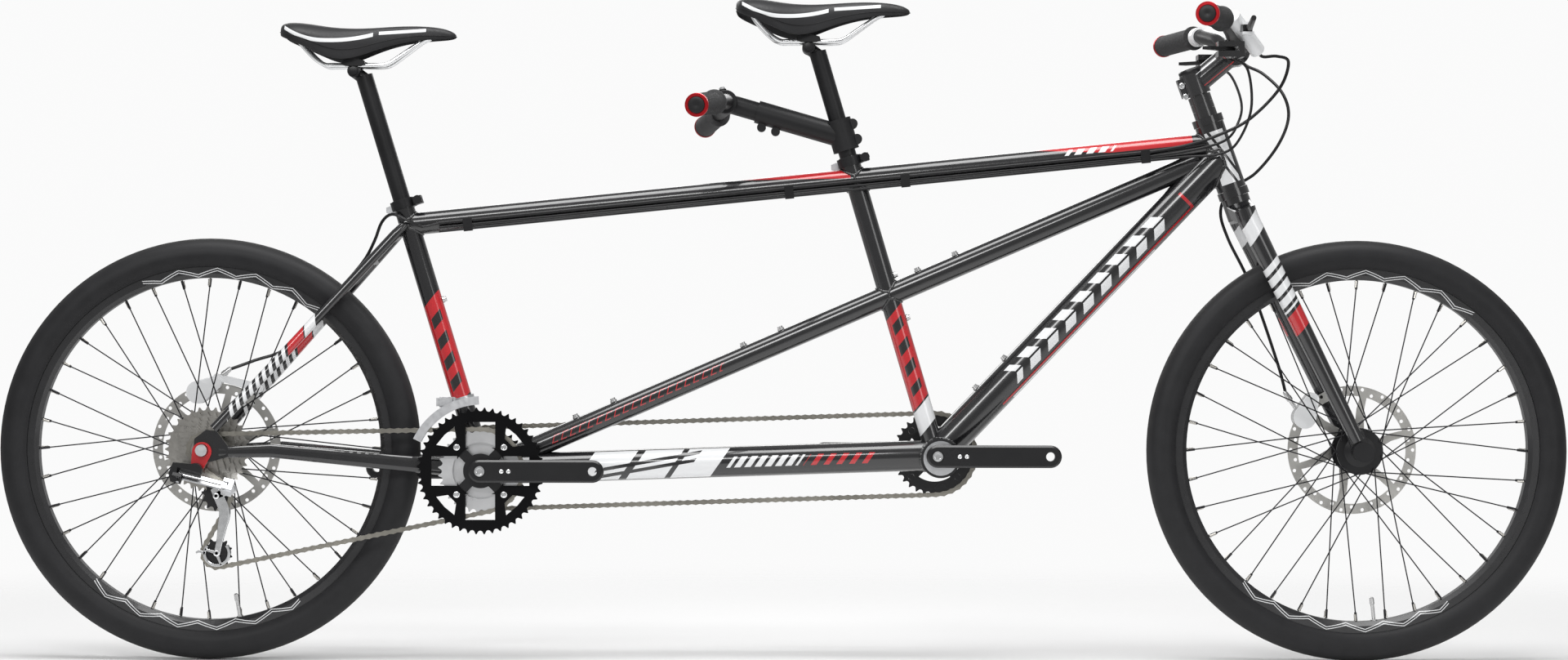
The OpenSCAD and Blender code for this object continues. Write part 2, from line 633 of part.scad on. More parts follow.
module timing_ring(centre) {
    at(centre) rotate([0, -timing_tilt, 0]) plate(timing_y - 1, timing_y + 1) difference() {
        wheel_outline(timing_teeth, 90);
        circle(r = 44);
        for (k = [0 : 3]) rotate(45 + k * 90 - timing_tilt) translate([bolt_circle_r, 0])
            circle(d = 10.2, $fn = 24);
    }
}
// Crank arm along +X from y to y + arm_t, with the empty pedal thread at its end
module arm(y) {
    difference() {
        hull() {
            translate([0, y + arm_t, 0]) rotate([90, 0, 0]) cylinder(r = 14.5, h = arm_t, $fn = 32);
            translate([0, y + arm_t - 2.5, 0]) rotate([90, 0, 0]) cylinder(r = 17.5, h = arm_t - 5, $fn = 32);
            translate([crank_len, y + arm_t, 0]) rotate([90, 0, 0]) cylinder(r = 14.5, h = arm_t, $fn = 32);
            translate([crank_len, y + arm_t - 2.5, 0]) rotate([90, 0, 0])
                cylinder(r = 17.5, h = arm_t - 5, $fn = 32);
        }
        translate([crank_len, 0, 0]) disc(pedal_r, y - 20, y + arm_t + 20);
        disc(spindle_d / 2 - 3, y - 20, y + arm_t + 20);
    }
}
module spider(y0, y1) {
    plate(y0, y1) difference() {
        union() {
            circle(r = 27);
            for (k = [0 : 3]) rotate(45 + k * 90) translate([0, -8]) square([bolt_circle_r - 5.3, 16]);
            for (k = [0 : 3]) rotate(45 + k * 90) translate([bolt_circle_r, 0]) circle(r = 8, $fn = 32);
        }
        circle(r = spindle_d / 2 - 3);
        for (k = [0 : 3]) rotate(45 + k * 90) translate([bolt_circle_r, 0]) circle(r = 5.1, $fn = 24);
    }
}
module stoker_cranks() color("#1b1b1d") at(stoker_bb) {
    mirror([0, 1, 0]) arm(right_arm_y);
    spider(-chainline - ring_step + 1.1, -chainline - 1.1);
    disc(17, -right_arm_y + 0.1, -chainline - ring_step + 1.2, spindle_d / 2 - 3);
    disc(15, -chainline - 1.2, -shell_w / 2 - 4.4, spindle_d / 2);
    rotate([0, 180, 0]) arm(left_arm_y);
    spider(timing_y + 1.1, timing_y + 5);
    disc(17, timing_y + 4.9, left_arm_y - 0.1, spindle_d / 2 - 3);
    disc(15, shell_w / 2 + 4.4, timing_y + 1.2, spindle_d / 2);
    disc(spindle_d / 2 - run_gap, -chainline, timing_y);
}
module captain_cranks() {
    color("#1b1b1d") at(captain_bb) {
        mirror([0, 1, 0]) arm(right_arm_y - 8);
        disc(16, -right_arm_y + 8.1, -shell_w / 2 - 1.4, spindle_d / 2);
        rotate([0, 180, 0]) arm(left_arm_y);
        spider(timing_y + 1.1, timing_y + 5);
        disc(17, timing_y + 4.9, left_arm_y - 0.1, spindle_d / 2 - 3);
        disc(15, shell_w / 2 + 1.4, timing_y + 1.2, spindle_d / 2);
        disc(spindle_d / 2 - run_gap, -right_arm_y + 9, timing_y);
        for (k = [0 : 3]) at(polar(bolt_circle_r, 45 + k * 90)) disc(5, timing_y - 1.2, timing_y + 1.2);
    }
    color("#1b1b1d") timing_ring(captain_bb);
}

// ---- rear mech ----
// Axes of the parallelogram: along the links, along their pins, and across both
link_pitch = atan2(link_front[1] - link_rear[1], link_front[0] - link_rear[0]);
link_half = 5.5;
pin_half = 9.5;
module at_pins(p) {
    at(p, -link_y) rotate([0, -link_pitch, 0]) rotate([-link_slant, 0, 0]) children();
}
// Room for both links between two ears, open toward side = 1 or -1, with bores for their pins
module link_room(side) {
    translate([side > 0 ? -4 : -76, -28, -3.2]) cube([80, 56, 6.4]);
    for (y = [-1, 1]) translate([0, y * link_half, -20]) cylinder(d = 5 + 2 * run_gap, h = 40);
}
function link_at(x, y, z) = [link_rear[0] + x, y, link_rear[1] + z];
module mech_b_knuckle() color("#232427") {
    y0 = dropout_y + dropout_t + gap + 4 + gap;
    difference() {
        union() {
            at(hanger_bolt) disc(11, -y0 - 14, -y0);
            plate(-y0 - 14, -y0) polygon([hanger_bolt + [6, 9], hanger_bolt + [9, -6], link_rear + [8, 2],
                link_rear + [0, -9], link_rear + [-12, -10], link_rear + [-15, 4], link_rear + [-8, 20]]);
            at_pins(link_rear) translate([-9, -10, -pin_half]) cube([14, 20, 2 * pin_half]);
        }
        at_pins(link_rear) link_room(1);
        translate(link_at(14, -100, -6)) cube([16, 4.2, 6.8]);
    }
    at(hanger_bolt) disc(3.9, -y0 + 0.3, -dropout_y + 0.5);
}
module link(side) at_pins(link_rear) {
    span = norm(link_front - link_rear);
    for (x = [0, span]) translate([x, side * link_half, -pin_half]) cylinder(d = 5, h = 2 * pin_half);
    translate([0, side * link_half - 2, -2.8]) cube([span, 4, 5.6]);
}
module mech_outer_link() color("#c9ccd0") link(-1);
module mech_inner_link() color("#c9ccd0") link(1);
module mech_p_knuckle() color("#c9ccd0") difference() {
    union() {
        at(cage_pivot) disc(9, -sprocket_y - 32, -sprocket_y - cage_gap - 2 - gap);
        at_pins(link_front) translate([-5, -10, -pin_half]) cube([16, 20, 2 * pin_half]);
    }
    at_pins(link_front) link_room(-1);
}
cage_gap = 4.2;
module mech_cage() color("#d2d4d7") {
    for (y = [-sprocket_y - cage_gap - 2, -sprocket_y + cage_gap]) plate(y, y + 2) difference() {
        hull() {
            translate(guide_at) circle(r = 9, $fn = 24);
            translate(cage_pivot) circle(r = y < -sprocket_y ? 9 : 5, $fn = 24);
        }
        translate(guide_at) circle(r = 3);
    }
    for (y = [-sprocket_y - cage_gap - 2, -sprocket_y + cage_gap]) plate(y, y + 2) difference() {
        hull() {
            translate(cage_pivot + [-4, -4]) circle(r = 5, $fn = 24);
            translate(tension_at) circle(r = 21, $fn = 48);
        }
        translate(tension_at) circle(r = 3);
    }
    for (p = [guide_at, tension_at]) at(p) disc(2.5, -sprocket_y - cage_gap - 3, -sprocket_y + cage_gap + 3);
}
module pulley(p, first) color("#1b1b1d") {
    at(p) difference() {
        plate(-sprocket_y - 0.9, -sprocket_y + 0.9) difference() {
            wheel_outline(pulley_teeth, first);
            circle(r = 2.5 + run_gap);
        }
    }
    at(p) disc(6, -sprocket_y - 3.6, -sprocket_y + 3.6, 2.5 + run_gap);
}
module guide_pulley() pulley(guide_at, first_tooth(2));
module tension_pulley() pulley(tension_at, first_tooth(1));

// ---- wheels ----
module tyre(p) color("#2a2a2c") at(p) turned() {
    mid = tyre_r - tyre_w / 2;
    difference() {
        translate([mid, 0]) circle(d = tyre_w, $fn = 64);
        translate([mid - 1, 0]) circle(d = tyre_w - 6, $fn = 64);
        translate([mid - tyre_w, -tyre_w / 2]) square([tyre_w - mid + rim_r + 2, tyre_w]);
    }
    bead = [[rim_r - 6, rim_w / 2 - 4], [rim_r - 6, rim_w / 2 - 1.8], [rim_r + 0.4, rim_w / 2 - 1.8],
        [rim_r + 0.4, rim_w / 2 + 2.4], [rim_r + 4, rim_w / 2 + 5], [rim_r + 5, rim_w / 2 + 1],
        [rim_r, rim_w / 2 - 4]];
    for (s = [-1, 1]) polygon([for (p = bead) [p[0], s * p[1]]]);
}
module rim(p) color("#18181a") at(p) turned() difference() {
    half = rim_w / 2;
    polygon([[rim_r, -half], [rim_r, -half + 1.6], [rim_r - 8, -half + 1.6], [rim_r - 8, half - 1.6],
        [rim_r, half - 1.6], [rim_r, half], [rim_r - 11, half], [rim_r - rim_depth, half - 5],
        [rim_r - rim_depth, -half + 5], [rim_r - 11, -half]]);
    polygon([[rim_r - 9.6, -half + 2.5], [rim_r - 9.6, half - 2.5], [rim_r - 11, half - 1.6],
        [rim_r - rim_depth + 1.6, half - 5.8], [rim_r - rim_depth + 1.6, -half + 5.8],
        [rim_r - 11, -half + 1.6]]);
}
// Spokes crossed three times: odd ones go to one flange, and half of each flange's lead
module spokes(p, left, right, flange_r, flange_t) color("#1e1e20") at(p) {
    rim_in = rim_r - rim_depth;
    for (k = [0 : spoke_count - 1]) {
        side = k % 2;
        lead = floor(k / 2) % 2;
        a = k * 360 / spoke_count;
        b = a + (lead == 0 ? 1 : -1) * 360 * 6 / spoke_count;
        y = side == 0 ? left : right;
        out = side == 0 ? 1 : -1;
        off = out * (flange_t / 2 + spoke_d / 2 + 0.15) * (lead == 0 ? 1.5 : -1);
        foot = [flange_r * cos(b), y + off, flange_r * sin(b)];
        head = [(rim_in - 0.6) * cos(a), side == 0 ? 2.5 : -2.5, (rim_in - 0.6) * sin(a)];
        rod(foot, head, spoke_d);
        rod(head + unit(foot - head) * 14, head, 4);
    }
}
module front_spokes() spokes(front_axle_at, 20, -32, 34, 3.4);
module rear_spokes() spokes(rear_axle_at, 37, -22, 30, 3.4);
// Hub shell drawn as [r, y]: two flanges, a waist and a through bore
module hub_shell(p, left, right, flange_l, flange_r, end_l, end_r) at(p) turned() polygon([
    [axle_d / 2 + run_gap, end_r], [14, end_r], [14, right - 5], [flange_r - 12, right - 1.7],
    [flange_r, right - 1.7], [flange_r, right + 1.7], [flange_r - 12, right + 1.7], [14, right + 6],
    [12, 0], [14, left - 6], [flange_l - 12, left - 1.7], [flange_l, left - 1.7],
    [flange_l, left + 1.7], [flange_l - 12, left + 1.7], [15, left + 5], [15, end_l],
    [axle_d / 2 + run_gap, end_l]]);
module front_hub() color("#1b1b1d")
    hub_shell(front_axle_at, 20, -32, 36.5, 36.5, rotor_y - 1.3, -front_hub_w / 2 + gap);
module rear_hub() color("#1b1b1d")
    hub_shell(rear_axle_at, 37, -22, 32.5, 32.5, rear_rotor_y - 1.3, -27.4);
module rotor(p, y) color("#c4c7ca") at(p) {
    plate(y - 0.95, y + 0.95) difference() {
        union() {
            difference() { circle(r = rotor_r, $fn = 96); circle(r = rotor_r - 16, $fn = 96); }
            for (k = [0 : 5]) rotate(k * 60) polygon([[18, -7], [18, 7], [60, 26], [rotor_r - 12, 33],
                [rotor_r - 12, 23], [62, 14], [34, -3]]);
            circle(r = 26);
        }
        circle(r = 15.5);
        for (k = [0 : 5]) rotate(k * 60) translate([22, 0]) circle(r = 2.6, $fn = 24);
        for (k = [0 : 35]) rotate(k * 10) translate([rotor_r - 5 - (k % 2) * 6, 0]) circle(r = 2.8, $fn = 16);
    }
    disc(14.5, y + 1.2, y + 4, axle_d / 2 + 1);
    for (k = [0 : 5]) at(polar(22, k * 60)) disc(2.4, y - 1.2, y + 3);
}
module rear_rotor() rotor(rear_axle_at, rear_rotor_y);
module front_rotor() rotor(front_axle_at, rotor_y);
module rear_axle() color("#b8bbbf") at(rear_axle_at) {
    outer = dropout_y + dropout_t;
    disc(axle_d / 2, -outer - 5, outer + 5);
    disc(9, outer + gap, outer + 9);
    disc(9, -outer - 13, -outer - 4.9);
}
module front_axle() color("#26272a") at(front_axle_at) {
    outer = front_hub_w / 2 + 8;
    disc(axle_d / 2, -outer - 5, outer + 5);
    disc(16, -outer - 12, -outer - gap);
    disc(13, outer + gap, outer + 9);
}

// ---- fork and steering ----
blade_top_y = 47;
blade_end_y = front_hub_w / 2 + 4;
module fork() color("#151517") steering() {
    difference() {
        union() {
            translate([0, 0, 430]) cylinder(d = steerer_d, h = 212);
            translate([0, 0, 405]) cylinder(d = 44, h = head_low - cup_h - 2 * gap - 405);
            hull() {
                translate([0, 0, 412]) cylinder(d = 40, h = 18, $fn = 32);
                for (s = [-1, 1]) translate([2, s * blade_top_y, 400]) cylinder(d = 34, h = 18, $fn = 32);
            }
            both_sides() {
                rod([2, blade_top_y, 402], [fork_offset - 1, blade_end_y + 2, 18], 34, 22);
                plate(front_hub_w / 2, front_hub_w / 2 + 8) translate([fork_offset, 0]) circle(r = 15);
                plate(front_hub_w / 2, front_hub_w / 2 + 8) translate([fork_offset - 14, 0]) square([26, 32]);
            }
        }
        translate([0, 0, 380]) cylinder(d = 22, h = 300);
        translate([fork_offset, 0, 0]) disc(axle_d / 2 + run_gap, -90, 90);
        translate([fork_offset, 0, 0]) disc(37, -front_hub_w / 2 + 0.1, front_hub_w / 2 - 0.1);
        translate([fork_offset, 0, 0]) disc(rotor_r + 2, rotor_y - 3, rotor_y + 3.5);
        translate([fork_offset, 0, 0]) disc(tyre_r + 6, -tyre_w / 2 - 4, tyre_w / 2 + 4);
    }
}
stem_low = 610;
stem_high = 645;
clamp_at = [74, 655];
module stem() color("#1b1b1d") steering() {
    for (k = [0 : 2]) translate([0, 0, head_high + cup_h + 2 * gap + k * 12]) difference() {
        cylinder(d = 36, h = 11.7);
        translate([0, 0, -1]) cylinder(d = steerer_d + 2 * run_gap, h = 14);
    }
    difference() {
        union() {
            translate([0, 0, stem_low]) cylinder(d = 40, h = stem_high - stem_low);
            along([0, 627], clamp_at) cylinder(d = 36, h = norm(clamp_at - [0, 627]));
            translate([-26, -9, stem_low + 2]) cube([16, 18, 30]);
            at(clamp_at) disc(23, -24, 24);
        }
        translate([0, 0, stem_low - 1]) cylinder(d = steerer_d + 2 * run_gap, h = stem_high - stem_low + 2);
        at(clamp_at) disc(31.8 / 2 + run_gap, -60, 60);
        translate([-40, -1, stem_low - 1]) cube([30, 2, 60]);
    }
    translate([0, 0, stem_high + gap]) cylinder(d = 38, h = 5);
}

// Handlebar: a clamped middle, two bends a side, and a swept-back straight end for the grip
captain_clamp = steer_point(clamp_at[1]) + steer_fwd * clamp_at[0];
function captain_path(s) = [[captain_clamp[0], 0, captain_clamp[1]],
    [captain_clamp[0], s * 45, captain_clamp[1]], [captain_clamp[0] - 14, s * 85, captain_clamp[1] + 24],
    [captain_clamp[0] - 34, s * 150, captain_clamp[1] + 37],
    [captain_clamp[0] - 78, s * captain_bar_half, captain_clamp[1] + 33]];
stoker_clamp = [-92, 875];
function stoker_path(s) = [[stoker_clamp[0], 0, stoker_clamp[1]], [stoker_clamp[0], s * 40, stoker_clamp[1]],
    [stoker_clamp[0] - 6, s * 110, stoker_clamp[1] - 5],
    [stoker_clamp[0] - 39, s * stoker_bar_half, stoker_clamp[1] - 22]];
module bent_bar(p, middle) {
    rod([p[1][0], -p[1][1], p[1][2]], p[1], middle);
    both_sides() {
        for (i = [1 : len(p) - 2]) rod(p[i], p[i + 1], bar_d);
        for (i = [1 : len(p) - 2]) translate(p[i]) sphere(d = (i == 1 ? middle : bar_d) + 0.7);
    }
}
module grip(inner, end, length) {
    v = unit(end - inner);
    difference() {
        rod(end - v * length, end + v * 3, grip_d);
        rod(end - v * (length + 5), end + v * 0.3, bar_d + 2 * run_gap);
    }
}
module captain_bar() {
    color("#1b1b1d") bent_bar(captain_path(1), 31.8);
    color("#3a3a3c") for (s = [-1, 1]) grip(captain_path(s)[3], captain_path(s)[4], grip_len);
}

// Points on the captain's bar, and the lever bodies that clamp round it
lever_from = [captain_path(1)[3][0] - 2, 158, captain_path(1)[3][2] - 0.2];
bar_end_dir = unit(captain_path(1)[4] - captain_path(1)[3]);
lever_pivot = [captain_clamp[0] + 2, 150, captain_clamp[1] + 24];
shift_pivot = [captain_clamp[0] - 22, 128, captain_clamp[1] - 6];
lever_back = [captain_clamp[0] - 22, 152, captain_clamp[1] + 42];
lever_front = [captain_clamp[0] + 24, 98, captain_clamp[1] - 6];
module lever_clamps() both_sides() {
    color("#e8e9ea") translate(lever_pivot - [0, 0, 9.5]) cylinder(d = 5 - 2 * run_gap, h = 19);
    color("#e8e9ea") difference() {
        union() {
            translate(lever_pivot - [9, 32, 9.5]) cube([18, 40, 19]);
            rod(lever_from - bar_end_dir * 7, lever_from + bar_end_dir * 7, 31);
            rod(lever_back, lever_front, 24);
        }
        rod(captain_path(1)[3], captain_path(1)[4], bar_d + 2 * run_gap);
        rod(captain_path(1)[3], captain_path(1)[2], bar_d + 0.4);
        rod(captain_path(1)[2], captain_path(1)[1], bar_d + 0.4);
        translate(captain_path(1)[3]) sphere(d = bar_d + 1.1);
        translate(lever_pivot - [11, 9, 5.4]) cube([50, 60, 10.8]);
    }
    color("#1b1b1d") difference() {
        translate(shift_pivot - [20, 18, 13]) cube([40, 36, 24]);
        rod(lever_back, lever_front, 25);
        translate(shift_pivot - [50, 30, 3.5]) cube([62, 80, 6]);
    }
}
module brake_lever() color("#2b2c2f") {
    difference() {
        union() {
            translate(lever_pivot - [0, 0, 5]) cylinder(d = 14, h = 10);
            rod(lever_pivot + [2, 4, 0], [lever_pivot[0] - 6, 262, lever_pivot[2] + 6], 10, 8);
        }
        translate(lever_pivot - [0, 0, 20]) cylinder(d = 5, h = 40);
    }
}
module left_brake_lever() brake_lever();
module right_brake_lever() mirror([0, 1, 0]) brake_lever();
module shift_lever() color("#2b2c2f") {
    translate(shift_pivot - [0, 0, 3]) cylinder(d = 16, h = 5);
    translate(shift_pivot - [0, 0, 3]) linear_extrude(5) polygon([[-6, -6], [6, 6], [-34, 38], [-46, 30]]);
}
module left_shift_lever() shift_lever();
module right_shift_lever() mirror([0, 1, 0]) shift_lever();

// Hoses and gear cables between the levers and the frame or fork
module control_cables() color("#0c0c0d") {
    front_hose = [[730.2, 97.6, 949.7], [740, 86, 940], [762, 64, 926], [788, 36, 894], [796, 24, 856],
        [780, 24, 812], [746, 34, 768], [708, 42, 742], [692, 47, 708], [704, 48, 664], [740, 49, 590],
        [782, 49, 470], [797, 46, 414]];
    rear_hose = [[730.2, -97.6, 949.7], [740, -86, 942], [764, -70, 944], [784, -56, 936], [772, -44, 896],
        [728, -40, 850], [684, -34, 826], [630, -26, 808], [573.3, -20.5, beside_top(573.3, 0, -3)[2]]];
    shift_one = [[690, 105, 942], [712, 80, 925], [722, 30, 880], [712, -16, 846], [688, -33, 815],
        [630, -27, 799], [573.3, -20.5, beside_top(573.3, 0, -10)[2]]];
    shift_two = [[692, -106, 938.5], [716, -94, 920], [724, -72, 862], [706, -50, 812], [680, -38, 794],
        [630, -27, 790], [573.3, -20.5, beside_top(573.3, 0, -16)[2]]];
    tube_along(front_hose, 5);
    tube_along(rear_hose, 5);
    tube_along(shift_one, 4.2);
    tube_along(shift_two, 4.2);
}

// ---- seats ----
module seatpost(foot, up, clamp_z) {
    top = foot + up * (clamp_z - foot[1]) / up[1];
    bar(foot, top, post_d);
    head = top + [-14, 6];
    at(head) disc(10, -18, 18);
    bar(top - up * 6, head, 20);
}
module captain_seatpost() color("#1b1b1d")
    seatpost(on_captain(640), captain_up, captain_clamp_z);
module stoker_seatpost() color("#1b1b1d")
    seatpost(on_stoker(570), stoker_up, stoker_clamp_z);
// Padded top with the nose forward, on two rails that the post's clamp holds
module saddle(head) {
    color("#161617") at(head) hull() {
        for (s = [-1, 1]) translate([-88, s * (saddle_w / 2 - 26), 40]) cylinder(r = 26, h = 33, $fn = 28);
        translate([saddle_len - 138, 0, 46]) cylinder(r = 18, h = 20, $fn = 28);
    }
    color("#b8bbbf") at(head) for (s = [-1, 1]) {
        rail = [[-84, s * 26, 40], [-44, s * 22, 9], [40, s * 22, 9], [104, s * 10, 45]];
        for (i = [0 : 2]) rod(rail[i], rail[i + 1], 7);
        for (p = rail) translate(p) sphere(d = 7.5);
    }
    color("#1b1b1d") at(head) translate([-16, -27, 12.8]) cube([32, 54, 5]);
}
function seat_head(foot, up, clamp_z) = foot + up * (clamp_z - foot[1]) / up[1] + [-14, 6];
module captain_saddle() saddle(seat_head(on_captain(640), captain_up, captain_clamp_z));
module stoker_saddle() saddle(seat_head(on_stoker(570), stoker_up, stoker_clamp_z));

stem_root = on_captain(822);
inner_d = 30;
stem_axis = unit(stoker_clamp - stem_root);
stem_reach = norm(stoker_clamp - stem_root);
sleeve_len = 0.73 * stem_reach;
module stoker_stem() color("#1e1e20") difference() {
    union() {
        bar(on_captain(800), on_captain(848), post_d + 14);
        bar(stem_root, stem_root + stem_axis * sleeve_len, inner_d + 6);
        for (z = [812, 836]) at(on_captain(z) + [20, 6]) disc(8, -9, 9);
        for (t = [0.54, 0.66]) at(stem_root + stem_axis * stem_reach * t + [-6, -21]) disc(7, -8, 8);
    }
    bar(on_captain(760), on_captain(900), post_d + 2 * run_gap);
    bar(stem_root + stem_axis * 26, stoker_clamp, inner_d + 2 * run_gap);
    translate([stem_root[0] + 12, -1.2, 780]) cube([40, 2.4, 90]);
}
module stoker_bar() {
    color("#1e1e20") difference() {
        union() {
            bar(stem_root + stem_axis * 62, stoker_clamp - stem_axis * 12, inner_d);
            at(stoker_clamp) disc(18, -22, 22);
        }
        at(stoker_clamp) disc(25.4 / 2 + run_gap, -60, 60);
    }
    color("#1b1b1d") bent_bar(stoker_path(1), 25.4);
    color("#3a3a3c") for (s = [-1, 1]) grip(stoker_path(s)[2], stoker_path(s)[3], grip_len);
}

head_tube();
top_tube();
down_tube();
captain_seat_tube();
stoker_seat_tube();
keel_tube();
lateral_tube();
bracket_shells();
chain_stays();
seat_stays();
seat_collars();
bracket_bearings();
bottle_bolts();
frame_cables();
rear_caliper();
front_mech_body();
front_mech_cage();
timing_chain();
drive_chain();
rear_axle();
fork();
stem();
captain_bar();
lever_clamps();
front_caliper();
front_axle();
control_cables();
right_brake_lever();
left_brake_lever();
right_shift_lever();
left_shift_lever();
tyre(front_axle_at);  // front_tyre
rim(front_axle_at);  // front_rim
front_spokes();
front_hub();
front_rotor();
tyre(rear_axle_at);  // rear_tyre
rim(rear_axle_at);  // rear_rim
rear_spokes();
rear_hub();
rear_rotor();
cassette();
stoker_cranks();
chainrings();
captain_cranks();
mech_b_knuckle();
mech_outer_link();
mech_inner_link();
mech_p_knuckle();
mech_cage();
guide_pulley();
tension_pulley();
captain_seatpost();
captain_saddle();
stoker_seatpost();
stoker_saddle();
stoker_stem();
stoker_bar();
captain_seat_lever();
stoker_seat_lever();
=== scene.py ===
"""Looks of a two-rider bicycle: finishes, soft parts, chains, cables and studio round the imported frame."""

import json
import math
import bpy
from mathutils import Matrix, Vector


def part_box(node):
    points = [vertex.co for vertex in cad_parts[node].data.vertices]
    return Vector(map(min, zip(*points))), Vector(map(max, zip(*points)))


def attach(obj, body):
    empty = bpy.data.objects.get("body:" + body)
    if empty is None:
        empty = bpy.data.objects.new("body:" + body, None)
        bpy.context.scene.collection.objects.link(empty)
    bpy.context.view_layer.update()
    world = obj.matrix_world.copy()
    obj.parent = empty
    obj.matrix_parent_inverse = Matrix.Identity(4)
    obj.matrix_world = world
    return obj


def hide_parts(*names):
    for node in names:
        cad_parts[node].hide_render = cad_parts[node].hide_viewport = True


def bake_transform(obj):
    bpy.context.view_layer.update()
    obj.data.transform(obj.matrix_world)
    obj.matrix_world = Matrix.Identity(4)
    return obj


bl_info = {
    "name": "Tandem bicycle looks",
    "version": (1, 0, 0),
    "blender": (4, 5, 0),
    "location": "3D View > Sidebar > Tandem",
    "description": "Builds the finishes, soft parts, chains and studio of a tandem bicycle",
    "category": "Object",
}

import bmesh
import bpy
from mathutils import Matrix, Vector

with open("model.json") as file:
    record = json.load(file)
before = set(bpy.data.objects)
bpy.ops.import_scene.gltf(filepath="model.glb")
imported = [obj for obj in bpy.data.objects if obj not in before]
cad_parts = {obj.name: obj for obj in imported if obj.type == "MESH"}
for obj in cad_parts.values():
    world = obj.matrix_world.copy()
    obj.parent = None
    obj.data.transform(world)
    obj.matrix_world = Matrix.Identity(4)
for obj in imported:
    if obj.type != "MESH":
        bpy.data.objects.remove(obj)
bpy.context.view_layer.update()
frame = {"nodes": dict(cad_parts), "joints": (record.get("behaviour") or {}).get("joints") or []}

MM = 0.001
NODES = frame["nodes"]


# ---- where the frame's parts are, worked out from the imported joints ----
def joint(name):
    return next(j for j in frame["joints"] if j["name"] == name)


def joint_point(name):
    return Vector(joint(name)["pos_m"])


def joint_axis(name):
    return Vector(joint(name)["axis"]).normalized()


REAR_AXLE = joint_point("rear_wheel_spin")
FRONT_AXLE = joint_point("front_wheel_spin")
STOKER_BRACKET = joint_point("stoker_crank_spin")
CAPTAIN_BRACKET = joint_point("captain_crank_spin")
STEER_FOOT = joint_point("steering_turn")
STEER_UP = joint_axis("steering_turn")
STEER_FORWARD = Vector((STEER_UP.z, 0, -STEER_UP.x))
CAPTAIN_UP = joint_axis("captain_post_slide")
STOKER_UP = joint_axis("stoker_post_slide")


def on_line(start, direction, height):
    return start + direction * ((height - start.z) / direction.z)


def steer_point(s):
    return STEER_FOOT + STEER_UP * (s * MM)


CAPTAIN_CLAMP = steer_point(655) + STEER_FORWARD * 0.074
STOKER_CLAMP = Vector((-0.092, 0, 0.875))
STEM_ROOT = on_line(CAPTAIN_BRACKET, CAPTAIN_UP, 0.822)
TOP_REAR = on_line(STOKER_BRACKET, STOKER_UP, 0.6825)
TOP_DIRECTION = Vector((math.cos(math.radians(5.82)), 0, math.sin(math.radians(5.82))))


# ---- shader maths ----
class Value:
    """A number that a material works out, so that sums on it are written as sums."""

    def __init__(self, finish, link):
        self.finish, self.link = finish, link

    def maths(self, operation, *inputs):
        return self.finish.node("ShaderNodeMath", {"operation": operation}, inputs)

    def __add__(self, other):
        return self.maths("ADD", self, other)

    __radd__ = __add__

    def __sub__(self, other):
        return self.maths("SUBTRACT", self, other)

    def __rsub__(self, other):
        return self.maths("SUBTRACT", other, self)

    def __mul__(self, other):
        return self.maths("MULTIPLY", self, other)

    __rmul__ = __mul__

    def __gt__(self, other):
        return self.maths("GREATER_THAN", self, other)

    def __lt__(self, other):
        return self.maths("LESS_THAN", self, other)

    def __abs__(self):
        return self.maths("ABSOLUTE", self)

    def __mod__(self, other):
        return self.maths("FLOORED_MODULO", self, other)

    def root(self):
        return self.maths("SQRT", self)

    def either(self, other):
        return self.maths("MAXIMUM", self, other)


def between(value, low, high):
    return (value > low) * (value < high)


class Finish:
    """One material: a shader, and short ways to add what varies over its surface."""

    def __init__(self, name, colour, roughness, metallic=0.0, coat=0.0, sheen=0.0):
        self.material = bpy.data.materials.new(name)
        self.material.use_nodes = True
        self.tree = self.material.node_tree
        self.shader = self.tree.nodes["Principled BSDF"]
        self.material.diffuse_color = (*colour, 1)
        self.colour = colour
        self.set("Base Color", (*colour, 1))
        self.set("Roughness", roughness)
        self.set("Metallic", metallic)
        self.set("Coat Weight", coat)
        self.set("Coat Roughness", 0.04)
        self.set("Sheen Weight", sheen)

    def set(self, socket, value):
        if isinstance(value, Value):
            self.tree.links.new(value.link, self.shader.inputs[socket])
        else:
            self.shader.inputs[socket].default_value = value

    def node(self, kind, settings=None, inputs=(), output=0):
        made = self.tree.nodes.new(kind)
        for key, value in (settings or {}).items():
            if key == "stops":
                ramp = made.color_ramp.elements
                while len(ramp) < len(value):
                    ramp.new(0.5)
                for stop, (at, shade) in zip(ramp, value):
                    stop.position = at
                    stop.color = (shade, shade, shade, 1)
            else:
                setattr(made, key, value)
        pairs = inputs.items() if isinstance(inputs, dict) else enumerate(inputs)
        for key, value in pairs:
            if isinstance(value, Value):
                self.tree.links.new(value.link, made.inputs[key])
            else:
                made.inputs[key].default_value = value
        return Value(self, made.outputs[output])

    def place(self):
        """The surface's own place in millimetres, as three numbers."""
        spot = self.node("ShaderNodeTexCoord", output=3)
        split = self.tree.nodes.new("ShaderNodeSeparateXYZ")
        self.tree.links.new(spot.link, split.inputs[0])
        return [Value(self, out) * 1000 for out in split.outputs]

    def noise(self, scale, detail=2.0, stretch=None):
        spot = self.node("ShaderNodeTexCoord", output=3)
        if stretch:
            spot = self.node("ShaderNodeVectorMath", {"operation": "MULTIPLY"}, [spot, stretch])
        return self.node("ShaderNodeTexNoise", {}, {"Vector": spot, "Scale": scale, "Detail": detail})

    def mix(self, mask, below, above):
        """A colour: below where the mask is 0, above where it is 1."""
        return self.node(
            "ShaderNodeMix",
            {"data_type": "RGBA"},
            {0: mask, 6: colour_of(below), 7: colour_of(above)},
            output=2,
        )

    def bump(self, height, strength=0.3, distance=0.001):
        self.set("Normal", self.node("ShaderNodeBump", {}, {
            "Strength": strength, "Distance": distance, "Height": height}))


def colour_of(value):
    return value if isinstance(value, Value) else (*value[:3], 1)


